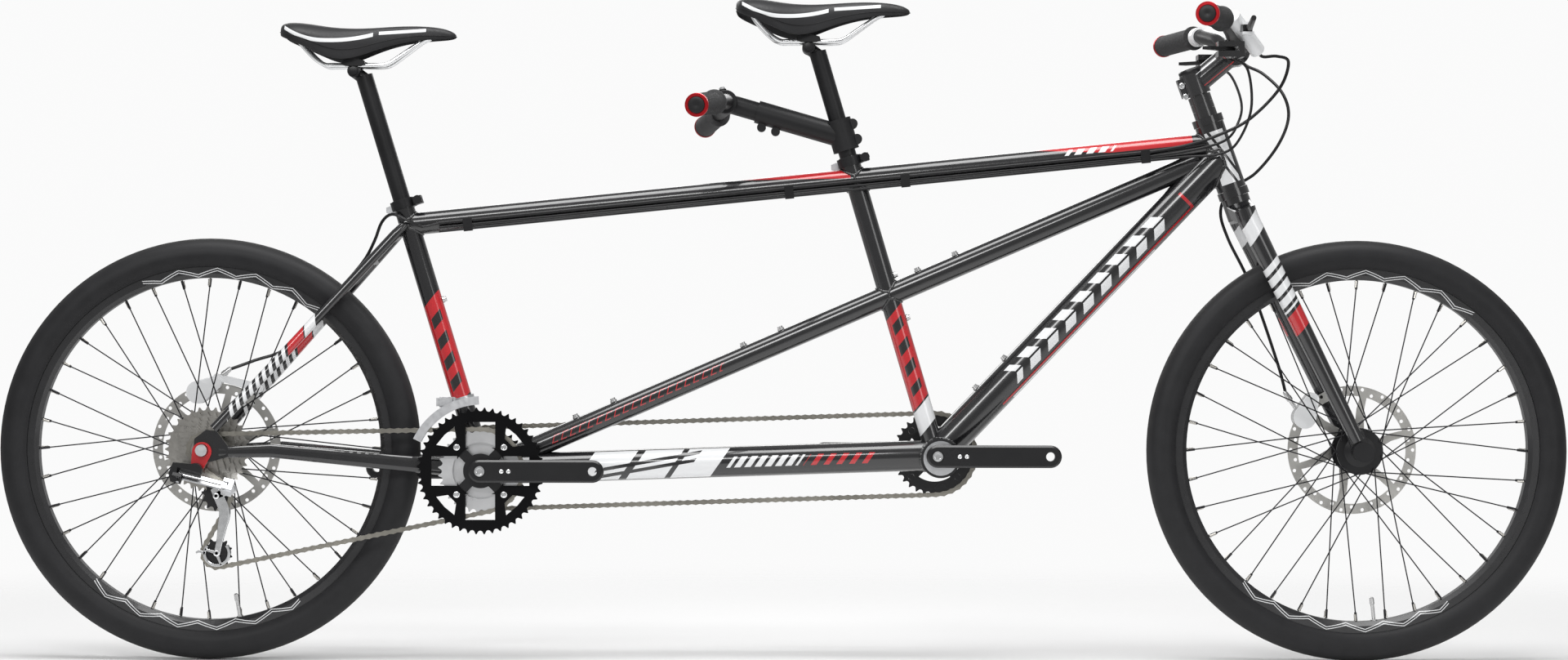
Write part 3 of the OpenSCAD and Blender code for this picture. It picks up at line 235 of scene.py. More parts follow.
WHITE = (0.82, 0.83, 0.84)
RED = (0.52, 0.012, 0.018)
BLACK = (0.006, 0.006, 0.007)


def gloss_paint(name, colour=BLACK, decals=None):
    """Lacquered paint with a faint orange peel, and stickers under the lacquer."""
    f = Finish(name, colour, 0.24, coat=1.0)
    f.set("Coat Roughness", 0.03)
    shade = f.mix(f.noise(9) * 0.5, colour, [c * 1.5 + 0.002 for c in colour])
    if decals:
        for mask, ink in decals(f, *f.place()):
            shade = f.mix(mask, shade, ink)
    f.set("Base Color", shade)
    f.set("Roughness", f.noise(60) * 0.12 + 0.18)
    f.bump(f.noise(420, 1.0), 0.05, 0.0004)
    return f.material


def metal(name, colour, roughness, brush=(1, 1, 1), brushed=0.25, grime=0.25):
    """Bare or anodised metal with fine brush lines and darker patches."""
    f = Finish(name, colour, roughness, metallic=1.0)
    patches = f.noise(14, 4)
    lines = f.noise(160, 3, brush)
    dark = [c * (1 - grime) for c in colour]
    f.set("Base Color", f.mix(patches, dark, colour))
    f.set("Roughness", lines * brushed + patches * 0.1 + (roughness - brushed / 2 - 0.05))
    f.bump(lines, 0.12, 0.0003)
    return f.material


def satin(name, colour, roughness=0.38, grain=500, coat=0.15, metallic=0.0, depth=0.12):
    """Anodised, moulded or powder-coated surface with a fine even grain."""
    f = Finish(name, colour, roughness, metallic=metallic, coat=coat)
    f.set("Coat Roughness", 0.3)
    f.set("Specular IOR Level", 0.3)
    patches = f.noise(18, 3)
    f.set("Base Color", f.mix(patches, [c * 0.75 for c in colour], [c * 1.25 + 0.002 for c in colour]))
    f.set("Roughness", patches * 0.16 + (roughness - 0.08))
    f.bump(f.noise(grain, 2), depth, 0.0004)
    return f.material


def tyre_rubber(name, axle):
    """Slick tread: fine rings round the wheel, a paler dusty band where it runs on the road."""
    f = Finish(name, (0.028, 0.028, 0.03), 0.6)
    f.set("Specular IOR Level", 0.28)
    x, y, z = f.place()
    dx, dz = x - axle.x * 1000, z - axle.z * 1000
    r = (dx * dx + dz * dz).root()
    worn = f.node("ShaderNodeMapRange", {}, [r, 322.0, 330.0, 0.0, 1.0])
    mottle = f.noise(35, 4)
    base = f.mix(mottle, (0.010, 0.010, 0.011), (0.022, 0.022, 0.024))
    f.set("Base Color", f.mix(worn * 0.4, base, (0.045, 0.044, 0.043)))
    f.set("Roughness", mottle * 0.15 + worn * 0.15 + 0.45)
    rings = abs(((r * 0.4) % 2.0) - 1.0) * (r < 322)
    f.bump(rings * 0.25 + f.noise(700, 2) * 0.5, 0.25, 0.0005)
    return f.material


def rim_finish(name, axle):
    """Black anodised rim with a zigzag outline in two arcs."""
    f = Finish(name, (0.012, 0.012, 0.013), 0.3, coat=0.4)
    x, y, z = f.place()
    dx, dz = x - axle.x * 1000, z - axle.z * 1000
    r = (dx * dx + dz * dz).root()
    turn = f.node("ShaderNodeMath", {"operation": "ARCTAN2"}, [dz, dx]) * (180 / math.pi)
    arcs = between(turn, 50.0, 112.0).either(between(turn, -131.0, -59.0))
    wave = abs(((turn * 0.16) % 2.0) - 1.0)
    centre = wave * 10 + 271.5
    outline = between(abs(r - centre), 1.3, 2.5) * (abs(y) > 8)
    black = f.mix(f.noise(30, 3), (0.01, 0.01, 0.011), (0.022, 0.022, 0.024))
    f.set("Base Color", f.mix(arcs * outline, black, WHITE))
    f.set("Roughness", f.noise(90) * 0.15 + 0.22)
    f.bump(f.noise(260, 2), 0.06, 0.0003)
    return f.material


def leather(name, head):
    """Saddle cover: fine grain, with pale curved panels along each side."""
    f = Finish(name, (0.014, 0.014, 0.015), 0.42)
    f.set("Specular IOR Level", 0.35)
    x, y, z = f.place()
    u, v, h = x - head.x * 1000, abs(y), z - head.z * 1000
    # a pale line sags from the tail to the waist, and a shorter one runs on to the nose
    turn = u + 45
    sag = turn * turn * ((u < -45) * 0.0039 + 0.00196) + 45
    rear = between(u, -104.0, 31.0) * (abs(h - sag) < 3.1) * (v > 9)
    nose = between(u, 40.0, 113.0) * (abs(h - 58.5 - (u - 39) * 0.075) < 2.6) * (v > 9)
    grain = f.node("ShaderNodeTexVoronoi", {}, {
        "Vector": f.node("ShaderNodeTexCoord", output=3), "Scale": 420.0})
    base = f.mix(f.noise(12, 3), (0.010, 0.010, 0.011), (0.024, 0.024, 0.026))
    f.set("Base Color", f.mix(rear.either(nose), base, (0.72, 0.73, 0.74)))
    f.set("Roughness", grain * 0.2 + 0.36)
    f.bump(grain, 0.18, 0.0005)
    return f.material


def ribbed_rubber(name):
    f = Finish(name, (0.035, 0.035, 0.036), 0.72)
    pits = f.node("ShaderNodeTexVoronoi", {}, {
        "Vector": f.node("ShaderNodeTexCoord", output=3), "Scale": 330.0})
    f.set("Base Color", f.mix(pits, (0.02, 0.02, 0.021), (0.06, 0.06, 0.062)))
    f.set("Roughness", pits * 0.2 + 0.6)
    f.bump(pits, 0.35, 0.001)
    return f.material


# ---- stickers: each gives (mask, colour) pairs over the black ----
def along_and_across(x, z, start, direction):
    sx, sz = start.x * 1000, start.z * 1000
    u = (x - sx) * direction.x + (z - sz) * direction.z
    v = (z - sz) * direction.x - (x - sx) * direction.z
    return u, v


def top_tube_stickers(f, x, y, z):
    u, v = along_and_across(x, z, TOP_REAR, TOP_DIRECTION)
    middle = between(u, 521.0, 697.0) * (v > 17.5 - (u - 521) * 0.085)
    front = between(u, 986.0, 1236.0) * (v > 17.5 - (u - 986) * 0.13) * (v > 2)
    bars = between(u - v * 0.9, 1030.0, 1106.0) * ((((u - v * 0.9) % 19.0) < 11)) * between(v, 4.0, 13.0)
    return [(middle.either(front), RED), (bars, WHITE)]


def seat_tube_stickers(start, up, low, high, foot):
    def stickers(f, x, y, z):
        u, v = along_and_across(x, z, start, up)
        slant = u + v * 0.7
        block = between(slant, low, high)
        bars = between(slant, low + 18, high - 14) * ((slant % 34.0) < 17) * (abs(v) < 9)
        found = [(block, RED), (bars, (0.012, 0.01, 0.01))]
        if foot:
            found.append((between(slant, low - foot, low - 3), WHITE))
        return found

    return stickers


def keel_stickers(f, x, y, z):
    direction = (CAPTAIN_BRACKET - STOKER_BRACKET).normalized()
    u, v = along_and_across(x, z, STOKER_BRACKET, direction)
    slant = u - v * 0.75
    white = between(slant, 160.0, 372.0) * (abs(v) < 22)
    swoosh = between(abs(v - (slant - 262) * 0.16), 3.0, 9.0) * between(slant, 182.0, 330.0)
    notch = between(slant, 228.0, 240.0).either(between(slant, 300.0, 309.0))
    bars = between(slant, 388.0, 500.0) * ((slant % 16.0) < 10) * (abs(v) < 8.5)
    red_bars = between(slant, 508.0, 610.0) * ((slant % 20.0) < 9) * (abs(v) < 8.5)
    return [(white, WHITE), (swoosh * white, BLACK), (notch * white, BLACK), (bars, WHITE), (red_bars, RED)]


def down_tube_stickers(f, x, y, z):
    direction = (steer_point(505) - CAPTAIN_BRACKET).normalized()
    u, v = along_and_across(x, z, CAPTAIN_BRACKET, direction)
    slant = u - 12 + abs(v - 1) * 0.9
    arrows = between(slant, 170.0, 510.0) * ((slant % 40.0) < 23) * between(v, -14.0, 16.0)
    slit = abs(v - 1) < 1.6
    red_line = between(u, 130.0, 560.0) * between(v, -21.5, -18.8)
    white_line = between(u, 150.0, 470.0) * between(v, -25.5, -23.4)
    hook = between(u, 556.0, 561.0) * between(v, -21.5, 10.0)
    return [(arrows, WHITE), (arrows * slit, BLACK), (red_line.either(hook), RED), (white_line, WHITE)]


def lateral_stickers(f, x, y, z):
    direction = (steer_point(512) - STOKER_BRACKET).normalized()
    u, v = along_and_across(x, z, STOKER_BRACKET, direction)
    slant = u - v * 0.7
    dash = between(slant, 120.0, 410.0) * ((slant % 15.0) < 10) * between(abs(v), 4.2, 5.6)
    ends = between(slant, 120.0, 410.0) * ((slant % 15.0) < 1.6) * (abs(v) < 5.6)
    return [(dash.either(ends), RED)]


def head_stickers(f, x, y, z):
    u, v = along_and_across(x, z, STEER_FOOT, STEER_UP)
    panel = between(u, 462.0, 548.0) * (abs(v) < 15)
    curl = between(abs(v - (u - 505) * 0.35), 3.5, 8.0)
    return [(panel, WHITE), (panel * curl, BLACK)]


def seat_stay_stickers(f, x, y, z):
    red = between(x + z * 0.1, -722.0, -696.0)
    white = between(x + z * 0.1, -694.0, -676.0)
    marks = between(x, -862.0, -772.0) * (((x + z * 0.2) % 12.0) < 6)
    return [(red, RED), (white, WHITE), (marks * (abs(y) > 30), WHITE)]


def fork_stickers(f, x, y, z):
    u, v = along_and_across(x, z, STEER_FOOT, STEER_UP)
    outer = abs(y) > 44
    crown = between(u + v * 0.8, 366.0, 398.0) * (abs(v) < 20)
    white = between(u + v * 0.6, 236.0, 318.0) * (abs(v) < 40) * outer
    cuts = ((u + v * 0.6) % 20.0) < 6
    red = between(u + v * 0.6, 196.0, 230.0) * outer
    return [(crown, WHITE), (white, WHITE), (white * cuts, BLACK), (red, RED)]


def stem_stickers(f, x, y, z):
    u, v = along_and_across(x, z, steer_point(628), (CAPTAIN_CLAMP - steer_point(628)).normalized())
    arm = between(u, 8.0, 66.0)
    return [(between(v, -12.0, -10.5) * arm, RED), (between(v, 10.0, 11.0) * arm, WHITE)]


# ---- meshes ----
def make(name, shape, material, body, smooth=35, replaces=()):
    """A mesh piece that rides on a body. smooth is the sharpest turn, in degrees, that is shaded smooth."""
    mesh = bpy.data.meshes.new(name)
    mesh.from_pydata([tuple(v) for v in shape.verts], [], shape.faces)
    bm = bmesh.new()
    bm.from_mesh(mesh)
    bmesh.ops.recalc_face_normals(bm, faces=bm.faces)
    bm.to_mesh(mesh)
    bm.free()
    for polygon in mesh.polygons:
        polygon.use_smooth = True
    mesh.set_sharp_from_angle(angle=math.radians(smooth))
    piece = bpy.data.objects.new(name, mesh)
    bpy.context.scene.collection.objects.link(piece)
    mesh.materials.append(material)
    if body:
        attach(piece, body)
    if replaces:
        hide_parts(*replaces)
    return piece


class Shape:
    """Vertices and faces gathered from several solids, for one piece."""

    def __init__(self):
        self.verts, self.faces = [], []

    def add(self, verts, faces):
        base = len(self.verts)
        self.verts += [Vector(v) for v in verts]
        self.faces += [[base + i for i in face] for face in faces]

    def loft(self, rings, closed=False, caps=True):
        """Rings of points joined one to the next."""
        n, m = len(rings[0]), len(rings)
        verts = [p for ring in rings for p in ring]
        faces = []
        for i in range(m if closed else m - 1):
            a, b = i * n, ((i + 1) % m) * n
            faces += [[a + j, a + (j + 1) % n, b + (j + 1) % n, b + j] for j in range(n)]
        if caps and not closed:
            faces += [list(range(n))[::-1], list(range((m - 1) * n, m * n))]
        self.add(verts, faces)

    def tube(self, line, radius, sides=16, closed=False):
        """A tube along a line of points; radius is one number or one for each point."""
        radii = radius if isinstance(radius, (list, tuple)) else [radius] * len(line)
        self.loft([[p + r * (math.cos(t) * u + math.sin(t) * v) for t in turns(sides)]
                   for (p, u, v), r in zip(carried(line, closed), radii)], closed)

    def turned(self, centre, axis, profile, sides=32):
        """A profile of (along, radius) pairs turned about an axis."""
        axis = Vector(axis).normalized()
        u = axis.orthogonal().normalized()
        v = axis.cross(u)
        self.loft([[Vector(centre) + axis * a + r * (math.cos(t) * u + math.sin(t) * v)
                    for t in turns(sides)] for a, r in profile])

    def slab(self, outline, y0, y1, ease=0.0008):
        """An outline in the side view, given thickness and eased edges. Its points run round its middle."""
        middle = sum((Vector((p[0], 0, p[1])) for p in outline), Vector()) / len(outline)

        def ring(y, inset):
            points = [Vector((p[0], 0, p[1])) for p in outline]
            return [Vector((q.x, y, q.z)) for q in
                    (p + (middle - p).normalized() * inset for p in points)]

        self.loft([ring(y0, ease), ring(y0 + ease, 0), ring(y1 - ease, 0), ring(y1, ease)])


def turns(n):
    return [2 * math.pi * i / n for i in range(n)]


def carried(line, closed=False):
    """Each point with two directions across the line, carried along it without twist."""
    points = [Vector(p) for p in line]
    n = len(points)
    out, u = [], None
    for i, p in enumerate(points):
        before = points[(i - 1) % n] if closed or i else p
        after = points[(i + 1) % n] if closed or i < n - 1 else p
        along = (after - before).normalized()
        if u is None:
            u = along.cross(Vector((0, 1, 0)))
            if u.length < 0.2:
                u = along.cross(Vector((0, 0, 1)))
        u = (u - along * u.dot(along)).normalized()
        out.append((p, u, along.cross(u)))
    return out


def smooth_line(points, steps=6):
    """A curve through every point, with steps pieces between each two."""
    p = [Vector(q) for q in points]
    p = [p[0] * 2 - p[1], *p, p[-1] * 2 - p[-2]]
    out = []
    for i in range(1, len(p) - 2):
        for k in range(steps):
            t = k / steps
            a, b, c, d = p[i - 1], p[i], p[i + 1], p[i + 2]
            out.append(0.5 * (2 * b + (c - a) * t + (2 * a - 5 * b + 4 * c - d) * t * t
                              + (3 * b - a - 3 * c + d) * t ** 3))
    return out + [p[-2]]


def rounded(points, reach, steps=6):
    """A line with its corners rounded, starting reach before each corner."""
    p = [Vector(q) for q in points]
    out = [p[0]]
    for a, b, c in zip(p, p[1:], p[2:]):
        start, end = b + (a - b).normalized() * reach, b + (c - b).normalized() * reach
        out += [start.lerp(b, k / steps).lerp(b.lerp(end, k / steps), k / steps) for k in range(steps + 1)]
    return out + [p[-1]]


def mirrored(points):
    return [Vector((p[0], -p[1], p[2])) for p in points]


def islands(node):
    """The points of each separate solid of a CAD node."""
    bm = bmesh.new()
    bm.from_mesh(NODES[node].data)
    bmesh.ops.remove_doubles(bm, verts=bm.verts, dist=1e-5)
    left, found = set(bm.verts), []
    while left:
        stack = [left.pop()]
        group = []
        while stack:
            v = stack.pop()
            group.append(v.co.copy())
            for e in v.link_edges:
                o = e.other_vert(v)
                if o in left:
                    left.discard(o)
                    stack.append(o)
        found.append(group)
    bm.free()
    return found


def middle_of(points):
    low = Vector([min(p[i] for p in points) for i in range(3)])
    high = Vector([max(p[i] for p in points) for i in range(3)])
    return (low + high) / 2, high - low


# ---- settings ----
class TandemStudio(bpy.types.PropertyGroup):
    """The studio round the bicycle."""

    floor: bpy.props.FloatVectorProperty(name="Floor", description="Colour of the floor", subtype="COLOR",
                                         size=3, min=0, max=1, default=(0.86, 0.86, 0.86))
    key: bpy.props.FloatProperty(name="Overhead light", description="Power of the light above", default=95.0,
                                 min=0, unit="POWER")
    surround: bpy.props.FloatProperty(name="Surround", description="How bright the room is round the bicycle",
                                      default=0.34, min=0)
    backdrop: bpy.props.FloatProperty(name="Backdrop", description="How bright the background looks",
                                      default=0.96, min=0)
    lens: bpy.props.FloatProperty(name="Lens", description="Focal length of the camera", default=78.9, min=10)


class TandemSoft(bpy.types.PropertyGroup):
    """Saddles and grips."""

    saddle_width: bpy.props.FloatProperty(name="Saddle width", description="Width of each saddle at the rear",
                                          default=0.140, min=0.12, max=0.16, unit="LENGTH")
    grip_colour: bpy.props.FloatVectorProperty(
        name="Grip end rings", description="Colour of the rings at the grips' ends", subtype="COLOR", size=3,
        min=0, max=1, default=RED)


class TandemDrive(bpy.types.PropertyGroup):
    """Chains."""

    plate: bpy.props.FloatProperty(name="Plate thickness", description="Thickness of one chain plate",
                                   default=0.00095, min=0.0006, max=0.0012, unit="LENGTH")


MATERIALS = {}


def finishes():
    """Makes each finish once."""
    if MATERIALS:
        return MATERIALS
    m = MATERIALS
    m["frame"] = gloss_paint("frame gloss black")
    m["top_tube"] = gloss_paint("top tube paint", decals=top_tube_stickers)
    m["down_tube"] = gloss_paint("down tube paint", decals=down_tube_stickers)
    m["captain_seat_tube"] = gloss_paint("captain seat tube paint", decals=seat_tube_stickers(
        CAPTAIN_BRACKET, CAPTAIN_UP, 86.0, 235.0, 40.0))
    m["stoker_seat_tube"] = gloss_paint("stoker seat tube paint", decals=seat_tube_stickers(
        STOKER_BRACKET, STOKER_UP, 112.0, 280.0, 0))
    m["keel_tube"] = gloss_paint("keel tube paint", decals=keel_stickers)
    m["lateral_tube"] = gloss_paint("lateral tube paint", decals=lateral_stickers)
    m["head_tube"] = gloss_paint("head tube paint", decals=head_stickers)
    m["seat_stays"] = gloss_paint("seat stay paint", decals=seat_stay_stickers)
    m["fork"] = gloss_paint("fork paint", decals=fork_stickers)
    m["stem"] = gloss_paint("stem lacquer", (0.012, 0.012, 0.013), stem_stickers)
    m["satin_black"] = satin("satin black anodised", (0.008, 0.008, 0.009), 0.34, coat=0.2)
    m["matte_black"] = satin("matte black coating", (0.010, 0.010, 0.011), 0.48, coat=0.05)
    m["crank"] = satin("polished black anodised", (0.008, 0.008, 0.009), 0.26, coat=0.5, depth=0.05)
    m["plastic"] = satin("black moulded plastic", (0.012, 0.012, 0.013), 0.46, grain=900)
    m["white"] = gloss_paint("white lacquer", WHITE)
    m["silver"] = metal("satin silver alloy", (0.86, 0.87, 0.89), 0.36, grime=0.15)
    m["polished"] = metal("polished alloy", (0.93, 0.94, 0.95), 0.2, grime=0.10)
    m["steel"] = metal("stainless steel", (0.76, 0.76, 0.76), 0.3, (1, 4, 1))
    m["rotor"] = metal("ground rotor steel", (0.66, 0.65, 0.62), 0.34, (3, 1, 3), 0.3)
    m["spoke"] = metal("black steel spokes", (0.045, 0.045, 0.048), 0.34)
    m["chain"] = metal("chain steel", (0.46, 0.44, 0.39), 0.36, grime=0.5)
    m["sprocket"] = metal("nickelled sprockets", (0.62, 0.60, 0.56), 0.32, grime=0.45)
    m["brass"] = metal("brass nipples", (0.62, 0.60, 0.56), 0.3)
    m["hose"] = satin("cable housing", (0.008, 0.008, 0.009), 0.34, grain=1200)
    m["front_tyre"] = tyre_rubber("front tyre rubber", FRONT_AXLE)
    m["rear_tyre"] = tyre_rubber("rear tyre rubber", REAR_AXLE)
    m["front_rim"] = rim_finish("front rim anodised", FRONT_AXLE)
    m["rear_rim"] = rim_finish("rear rim anodised", REAR_AXLE)
    m["grip"] = ribbed_rubber("grip rubber")
    return m


# Finish of each CAD part that stays as it is
PLAIN = {
    "frame": ["bracket_shells", "chain_stays"],
    "satin_black": ["seat_collars", "front_hub", "rear_hub", "captain_bar", "stoker_seatpost",
                    "captain_seatpost", "front_axle", "right_brake_lever", "left_brake_lever"],
    "matte_black": ["stoker_stem"],
    "crank": ["stoker_cranks", "captain_cranks"],
    "plastic": ["right_shift_lever", "left_shift_lever", "guide_pulley", "tension_pulley", "mech_b_knuckle"],
    "silver": ["bracket_bearings", "front_mech_body", "front_mech_cage", "mech_inner_link",
               "mech_p_knuckle", "rear_axle", "captain_seat_lever", "stoker_seat_lever"],
    "polished": ["mech_outer_link", "mech_cage"],
    "white": ["rear_caliper", "front_caliper"],
    "steel": ["bottle_bolts"],
    "rotor": ["front_rotor", "rear_rotor"],
    "spoke": ["front_spokes", "rear_spokes"],
    "sprocket": ["cassette"],
    "hose": ["frame_cables"],
}
OWN = ["top_tube", "down_tube", "captain_seat_tube", "stoker_seat_tube", "keel_tube", "lateral_tube",
       "head_tube", "seat_stays", "fork", "stem", "front_tyre", "rear_tyre", "front_rim", "rear_rim"]


def chainring_finish():
    """Black outer ring and bolts, silver middle and inner rings, black timing ring."""
    f = Finish("chainrings", (0.02, 0.02, 0.02), 0.3, metallic=0.9)
    x, y, z = f.place()
    silver = between(y, -54.0, 0.0)
    patches = f.noise(25, 3)
    bright = f.mix(patches, (0.70, 0.70, 0.71), (0.92, 0.93, 0.94))
    f.set("Base Color", f.mix(silver, (0.012, 0.012, 0.013), bright))
    f.set("Roughness", patches * 0.15 + 0.22)
    f.bump(f.noise(300, 2), 0.08, 0.0003)
    return f.material


def lever_finish():
    """White brake lever bodies with black shifter pods below them."""
    def pods(f, x, y, z):
        pivot = joint_point("left_shift_push") * 1000
        in_width = between(x, pivot.x - 20.5, pivot.x + 20.5) * (abs(abs(y) - pivot.y) < 18.5)
        return [(in_width * (z < pivot.z + 11.5), (0.012, 0.012, 0.013))]

    return gloss_paint("lever body lacquer", WHITE, pods)


def chain_stay_finish():
    """Black stays and dropouts with the red hanger outside them."""
    def hanger(f, x, y, z):
        return [((y < -79.6) * (x < -884), RED)]

    return gloss_paint("chain stay paint", decals=hanger)


def floor_finish(colour):
    """A matt pale floor that fades into the backdrop away from the bicycle."""
    f = Finish("studio floor", tuple(colour), 0.85)
    f.set("Base Color", f.mix(f.noise(3), colour, [c * 0.985 for c in colour]))
    x, y, z = f.place()
    away = (x * x * 0.45 + y * y).root()
    f.set("Alpha", f.node("ShaderNodeMapRange", {"interpolation_type": "SMOOTHSTEP"},
                          [away, FLOOR_FADE_START, FLOOR_FADE_END, 1.0, 0.0]))
    return f.material


# Where the camera stands, in metres, and its small roll in radians
CAMERA_PLACE = (0.0004, -5.4, 0.518)
CAMERA_ROLL = 0.002
# Half the floor's width in metres, and how far out it starts and stops fading, in mm
FLOOR_HALF = 5
FLOOR_FADE_START, FLOOR_FADE_END = 700.0, 2300.0


class TANDEM_OT_stage(bpy.types.Operator):
    """Builds the camera, lights and floor"""

    bl_idname = "tandem.stage"
    bl_label = "Studio"

    def execute(self, context):
        studio = context.scene.tandem_studio
        camera_data = bpy.data.cameras.new("camera")
        camera_data.lens, camera_data.sensor_width = studio.lens, 36
        camera = bpy.data.objects.new("camera", camera_data)
        turn = Matrix.Rotation(math.radians(90), 4, "X") @ Matrix.Rotation(CAMERA_ROLL, 4, "Z")
        camera.matrix_world = Matrix.Translation(CAMERA_PLACE) @ turn
        context.scene.collection.objects.link(camera)
        context.scene.camera = camera
        mesh = bpy.data.meshes.new("floor")
        corners = [(x * FLOOR_HALF, y * FLOOR_HALF, 0) for x, y in ((-1, -1), (1, -1), (1, 1), (-1, 1))]
        mesh.from_pydata(corners, [], [[0, 1, 2, 3]])
        mesh.materials.append(floor_finish(studio.floor))
        floor = bpy.data.objects.new("floor", mesh)
        floor.location.z = -0.0005
        context.scene.collection.objects.link(floor)
        for name, place, aim, size, power in (
            ("overhead", (0, -0.6, 3.2), (0, 0, 0.4), (3.4, 1.5), studio.key),
            ("front strip", (-1.2, -3.6, 2.4), (0, 0, 0.5), (3.0, 0.5), studio.key * 0.5),
            ("low fill", (2.6, -3.2, 0.9), (0.3, 0, 0.5), (1.2, 1.6), studio.key * 0.15),
            ("behind", (0, 3.4, 2.2), (0, 0, 0.6), (4.0, 1.0), studio.key * 0.4),
        ):
            lamp = bpy.data.lights.new(name, "AREA")
            lamp.shape, lamp.size, lamp.size_y, lamp.energy = "RECTANGLE", size[0], size[1], power
            light = bpy.data.objects.new(name, lamp)
            light.location = place
            light.rotation_euler = (Vector(aim) - Vector(place)).to_track_quat("-Z", "Y").to_euler()
            context.scene.collection.objects.link(light)
        world = bpy.data.worlds.new("studio")
        context.scene.world = world
        world.use_nodes = True
        background = world.node_tree.nodes["Background"]
        sight = world.node_tree.nodes.new("ShaderNodeLightPath")
        strength = world.node_tree.nodes.new("ShaderNodeMapRange")
        strength.inputs["To Min"].default_value = studio.surround
        strength.inputs["To Max"].default_value = studio.backdrop
        world.node_tree.links.new(sight.outputs["Is Camera Ray"], strength.inputs["Value"])
        world.node_tree.links.new(strength.outputs[0], background.inputs["Strength"])
        background.inputs["Color"].default_value = (1, 1, 1, 1)
        context.scene.view_settings.view_transform = "Standard"
        return {"FINISHED"}


class TANDEM_OT_finishes(bpy.types.Operator):
    """Gives every part of the frame its finish"""

    bl_idname = "tandem.finishes"
    bl_label = "Finishes"

    def execute(self, context):
        m = finishes()
        for finish, names in PLAIN.items():
            for name in names:
                paint(name, m[finish])
        for name in OWN:
            paint(name, m[name])
        paint("chainrings", chainring_finish())
        paint("chain_stays", chain_stay_finish())
        paint("lever_clamps", lever_finish())
        return {"FINISHED"}


def paint(node, material):
    slots = NODES[node].data.materials
    slots.clear()
    slots.append(material)


# Each cable's diameter, then its route from the handlebar, in mm
CORD_ROUTES = {
    "front_brake_hose": (5.0, [(730.2, 97.6, 949.7), (740, 86, 940), (762, 64, 926), (788, 36, 894),
                               (796, 24, 856), (780, 24, 812), (746, 34, 768), (708, 42, 742), (692, 47, 708),
                               (704, 48, 664), (740, 49, 590), (782, 49, 470), (797, 46, 414)]),
    "rear_brake_hose": (5.0, [(730.2, -97.6, 949.7), (740, -86, 942), (764, -70, 944), (784, -56, 936),
                              (772, -44, 896), (728, -40, 850), (684, -34, 826), (630, -26, 808)]),
    "right_gear_cable": (4.2, [(690, 105, 942), (712, 80, 925), (722, 30, 880), (712, -16, 846),
                               (688, -33, 815), (630, -27, 799)]),
    "left_gear_cable": (4.2, [(692, -106, 938.5), (716, -94, 920), (724, -72, 862), (706, -50, 812),
                              (680, -38, 794), (630, -27, 790)]),
}
# How far below the top tube's middle line each cable meets its clip
CLIP_DROP = {"rear_brake_hose": 3, "right_gear_cable": 10, "left_gear_cable": 16}
CLIP_X, CLIP_Y = 0.5733, -0.0205


class TANDEM_OT_cables(bpy.types.Operator):
    """Builds the hoses and gear cables between the handlebar and the frame or fork"""

    bl_idname = "tandem.cables"
    bl_label = "Cables"

    def execute(self, context):
        m = finishes()
        for name, (thick, route) in CORD_ROUTES.items():
            points = [Vector(p) * MM for p in route]
            if name in CLIP_DROP:
                top = TOP_REAR + TOP_DIRECTION * ((CLIP_X - TOP_REAR.x) / TOP_DIRECTION.x)
                points.append(Vector((CLIP_X, CLIP_Y, top.z - CLIP_DROP[name] * MM)))
            line = smooth_line(points, 8)
            shape = Shape()
            shape.tube(line, thick * MM / 2, 14)
            crosses = name in CLIP_DROP
            piece = make(name, shape, m["hose"], None if crosses else "steering",
                         60, ["control_cables"])
            if crosses:
                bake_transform(piece)
            length = sum((b - a).length for a, b in zip(line, line[1:]))
        return {"FINISHED"}


# Saddle stations: how far forward, half width, top, and the skirt's lower edge, in mm from the clamp
SADDLE = [(-114, 26, 68, 56), (-111, 44, 72, 52), (-103, 59, 74.5, 48), (-91, 67, 75, 43),
          (-75, 70, 74, 36), (-57, 68, 71.5, 28), (-40, 61, 69, 20.5), (-24, 53, 67.6, 16.5),
          (-8, 45, 67, 17), (8, 38, 67, 21), (26, 32, 67.8, 28), (48, 27, 69.5, 36),
          (72, 23.5, 71, 42.5), (96, 21.5, 71.5, 47), (120, 20, 70.5, 49), (138, 18, 68, 50),
          (150, 14.5, 64.5, 51), (157, 9, 60.5, 52.5), (159, 3.5, 58, 54)]
# The width that the stations above are drawn for, in metres
DRAWN_WIDTH = 0.140
# One saddle rail, from the tail to the nose, in mm from the clamp
RAIL = [(-88, 27, 52), (-80, 26, 40), (-60, 24.4, 19), (-44, 22, 9.4), (-30, 22, 9), (0, 22, 9),
        (40, 22, 9), (56, 20, 12.6), (80, 15, 29), (104, 10, 46), (118, 8, 53)]
# The handlebars' half lines from the clamp outwards, in mm
CAPTAIN_BAR = [(0, 0, 0), (0, 45, 0), (-14, 85, 24), (-34, 150, 37), (-78, 300, 33)]
STOKER_BAR = [(0, 0, 0), (0, 40, 0), (-6, 110, -5), (-39, 280, -22)]
GRIP_LENGTH = 0.131


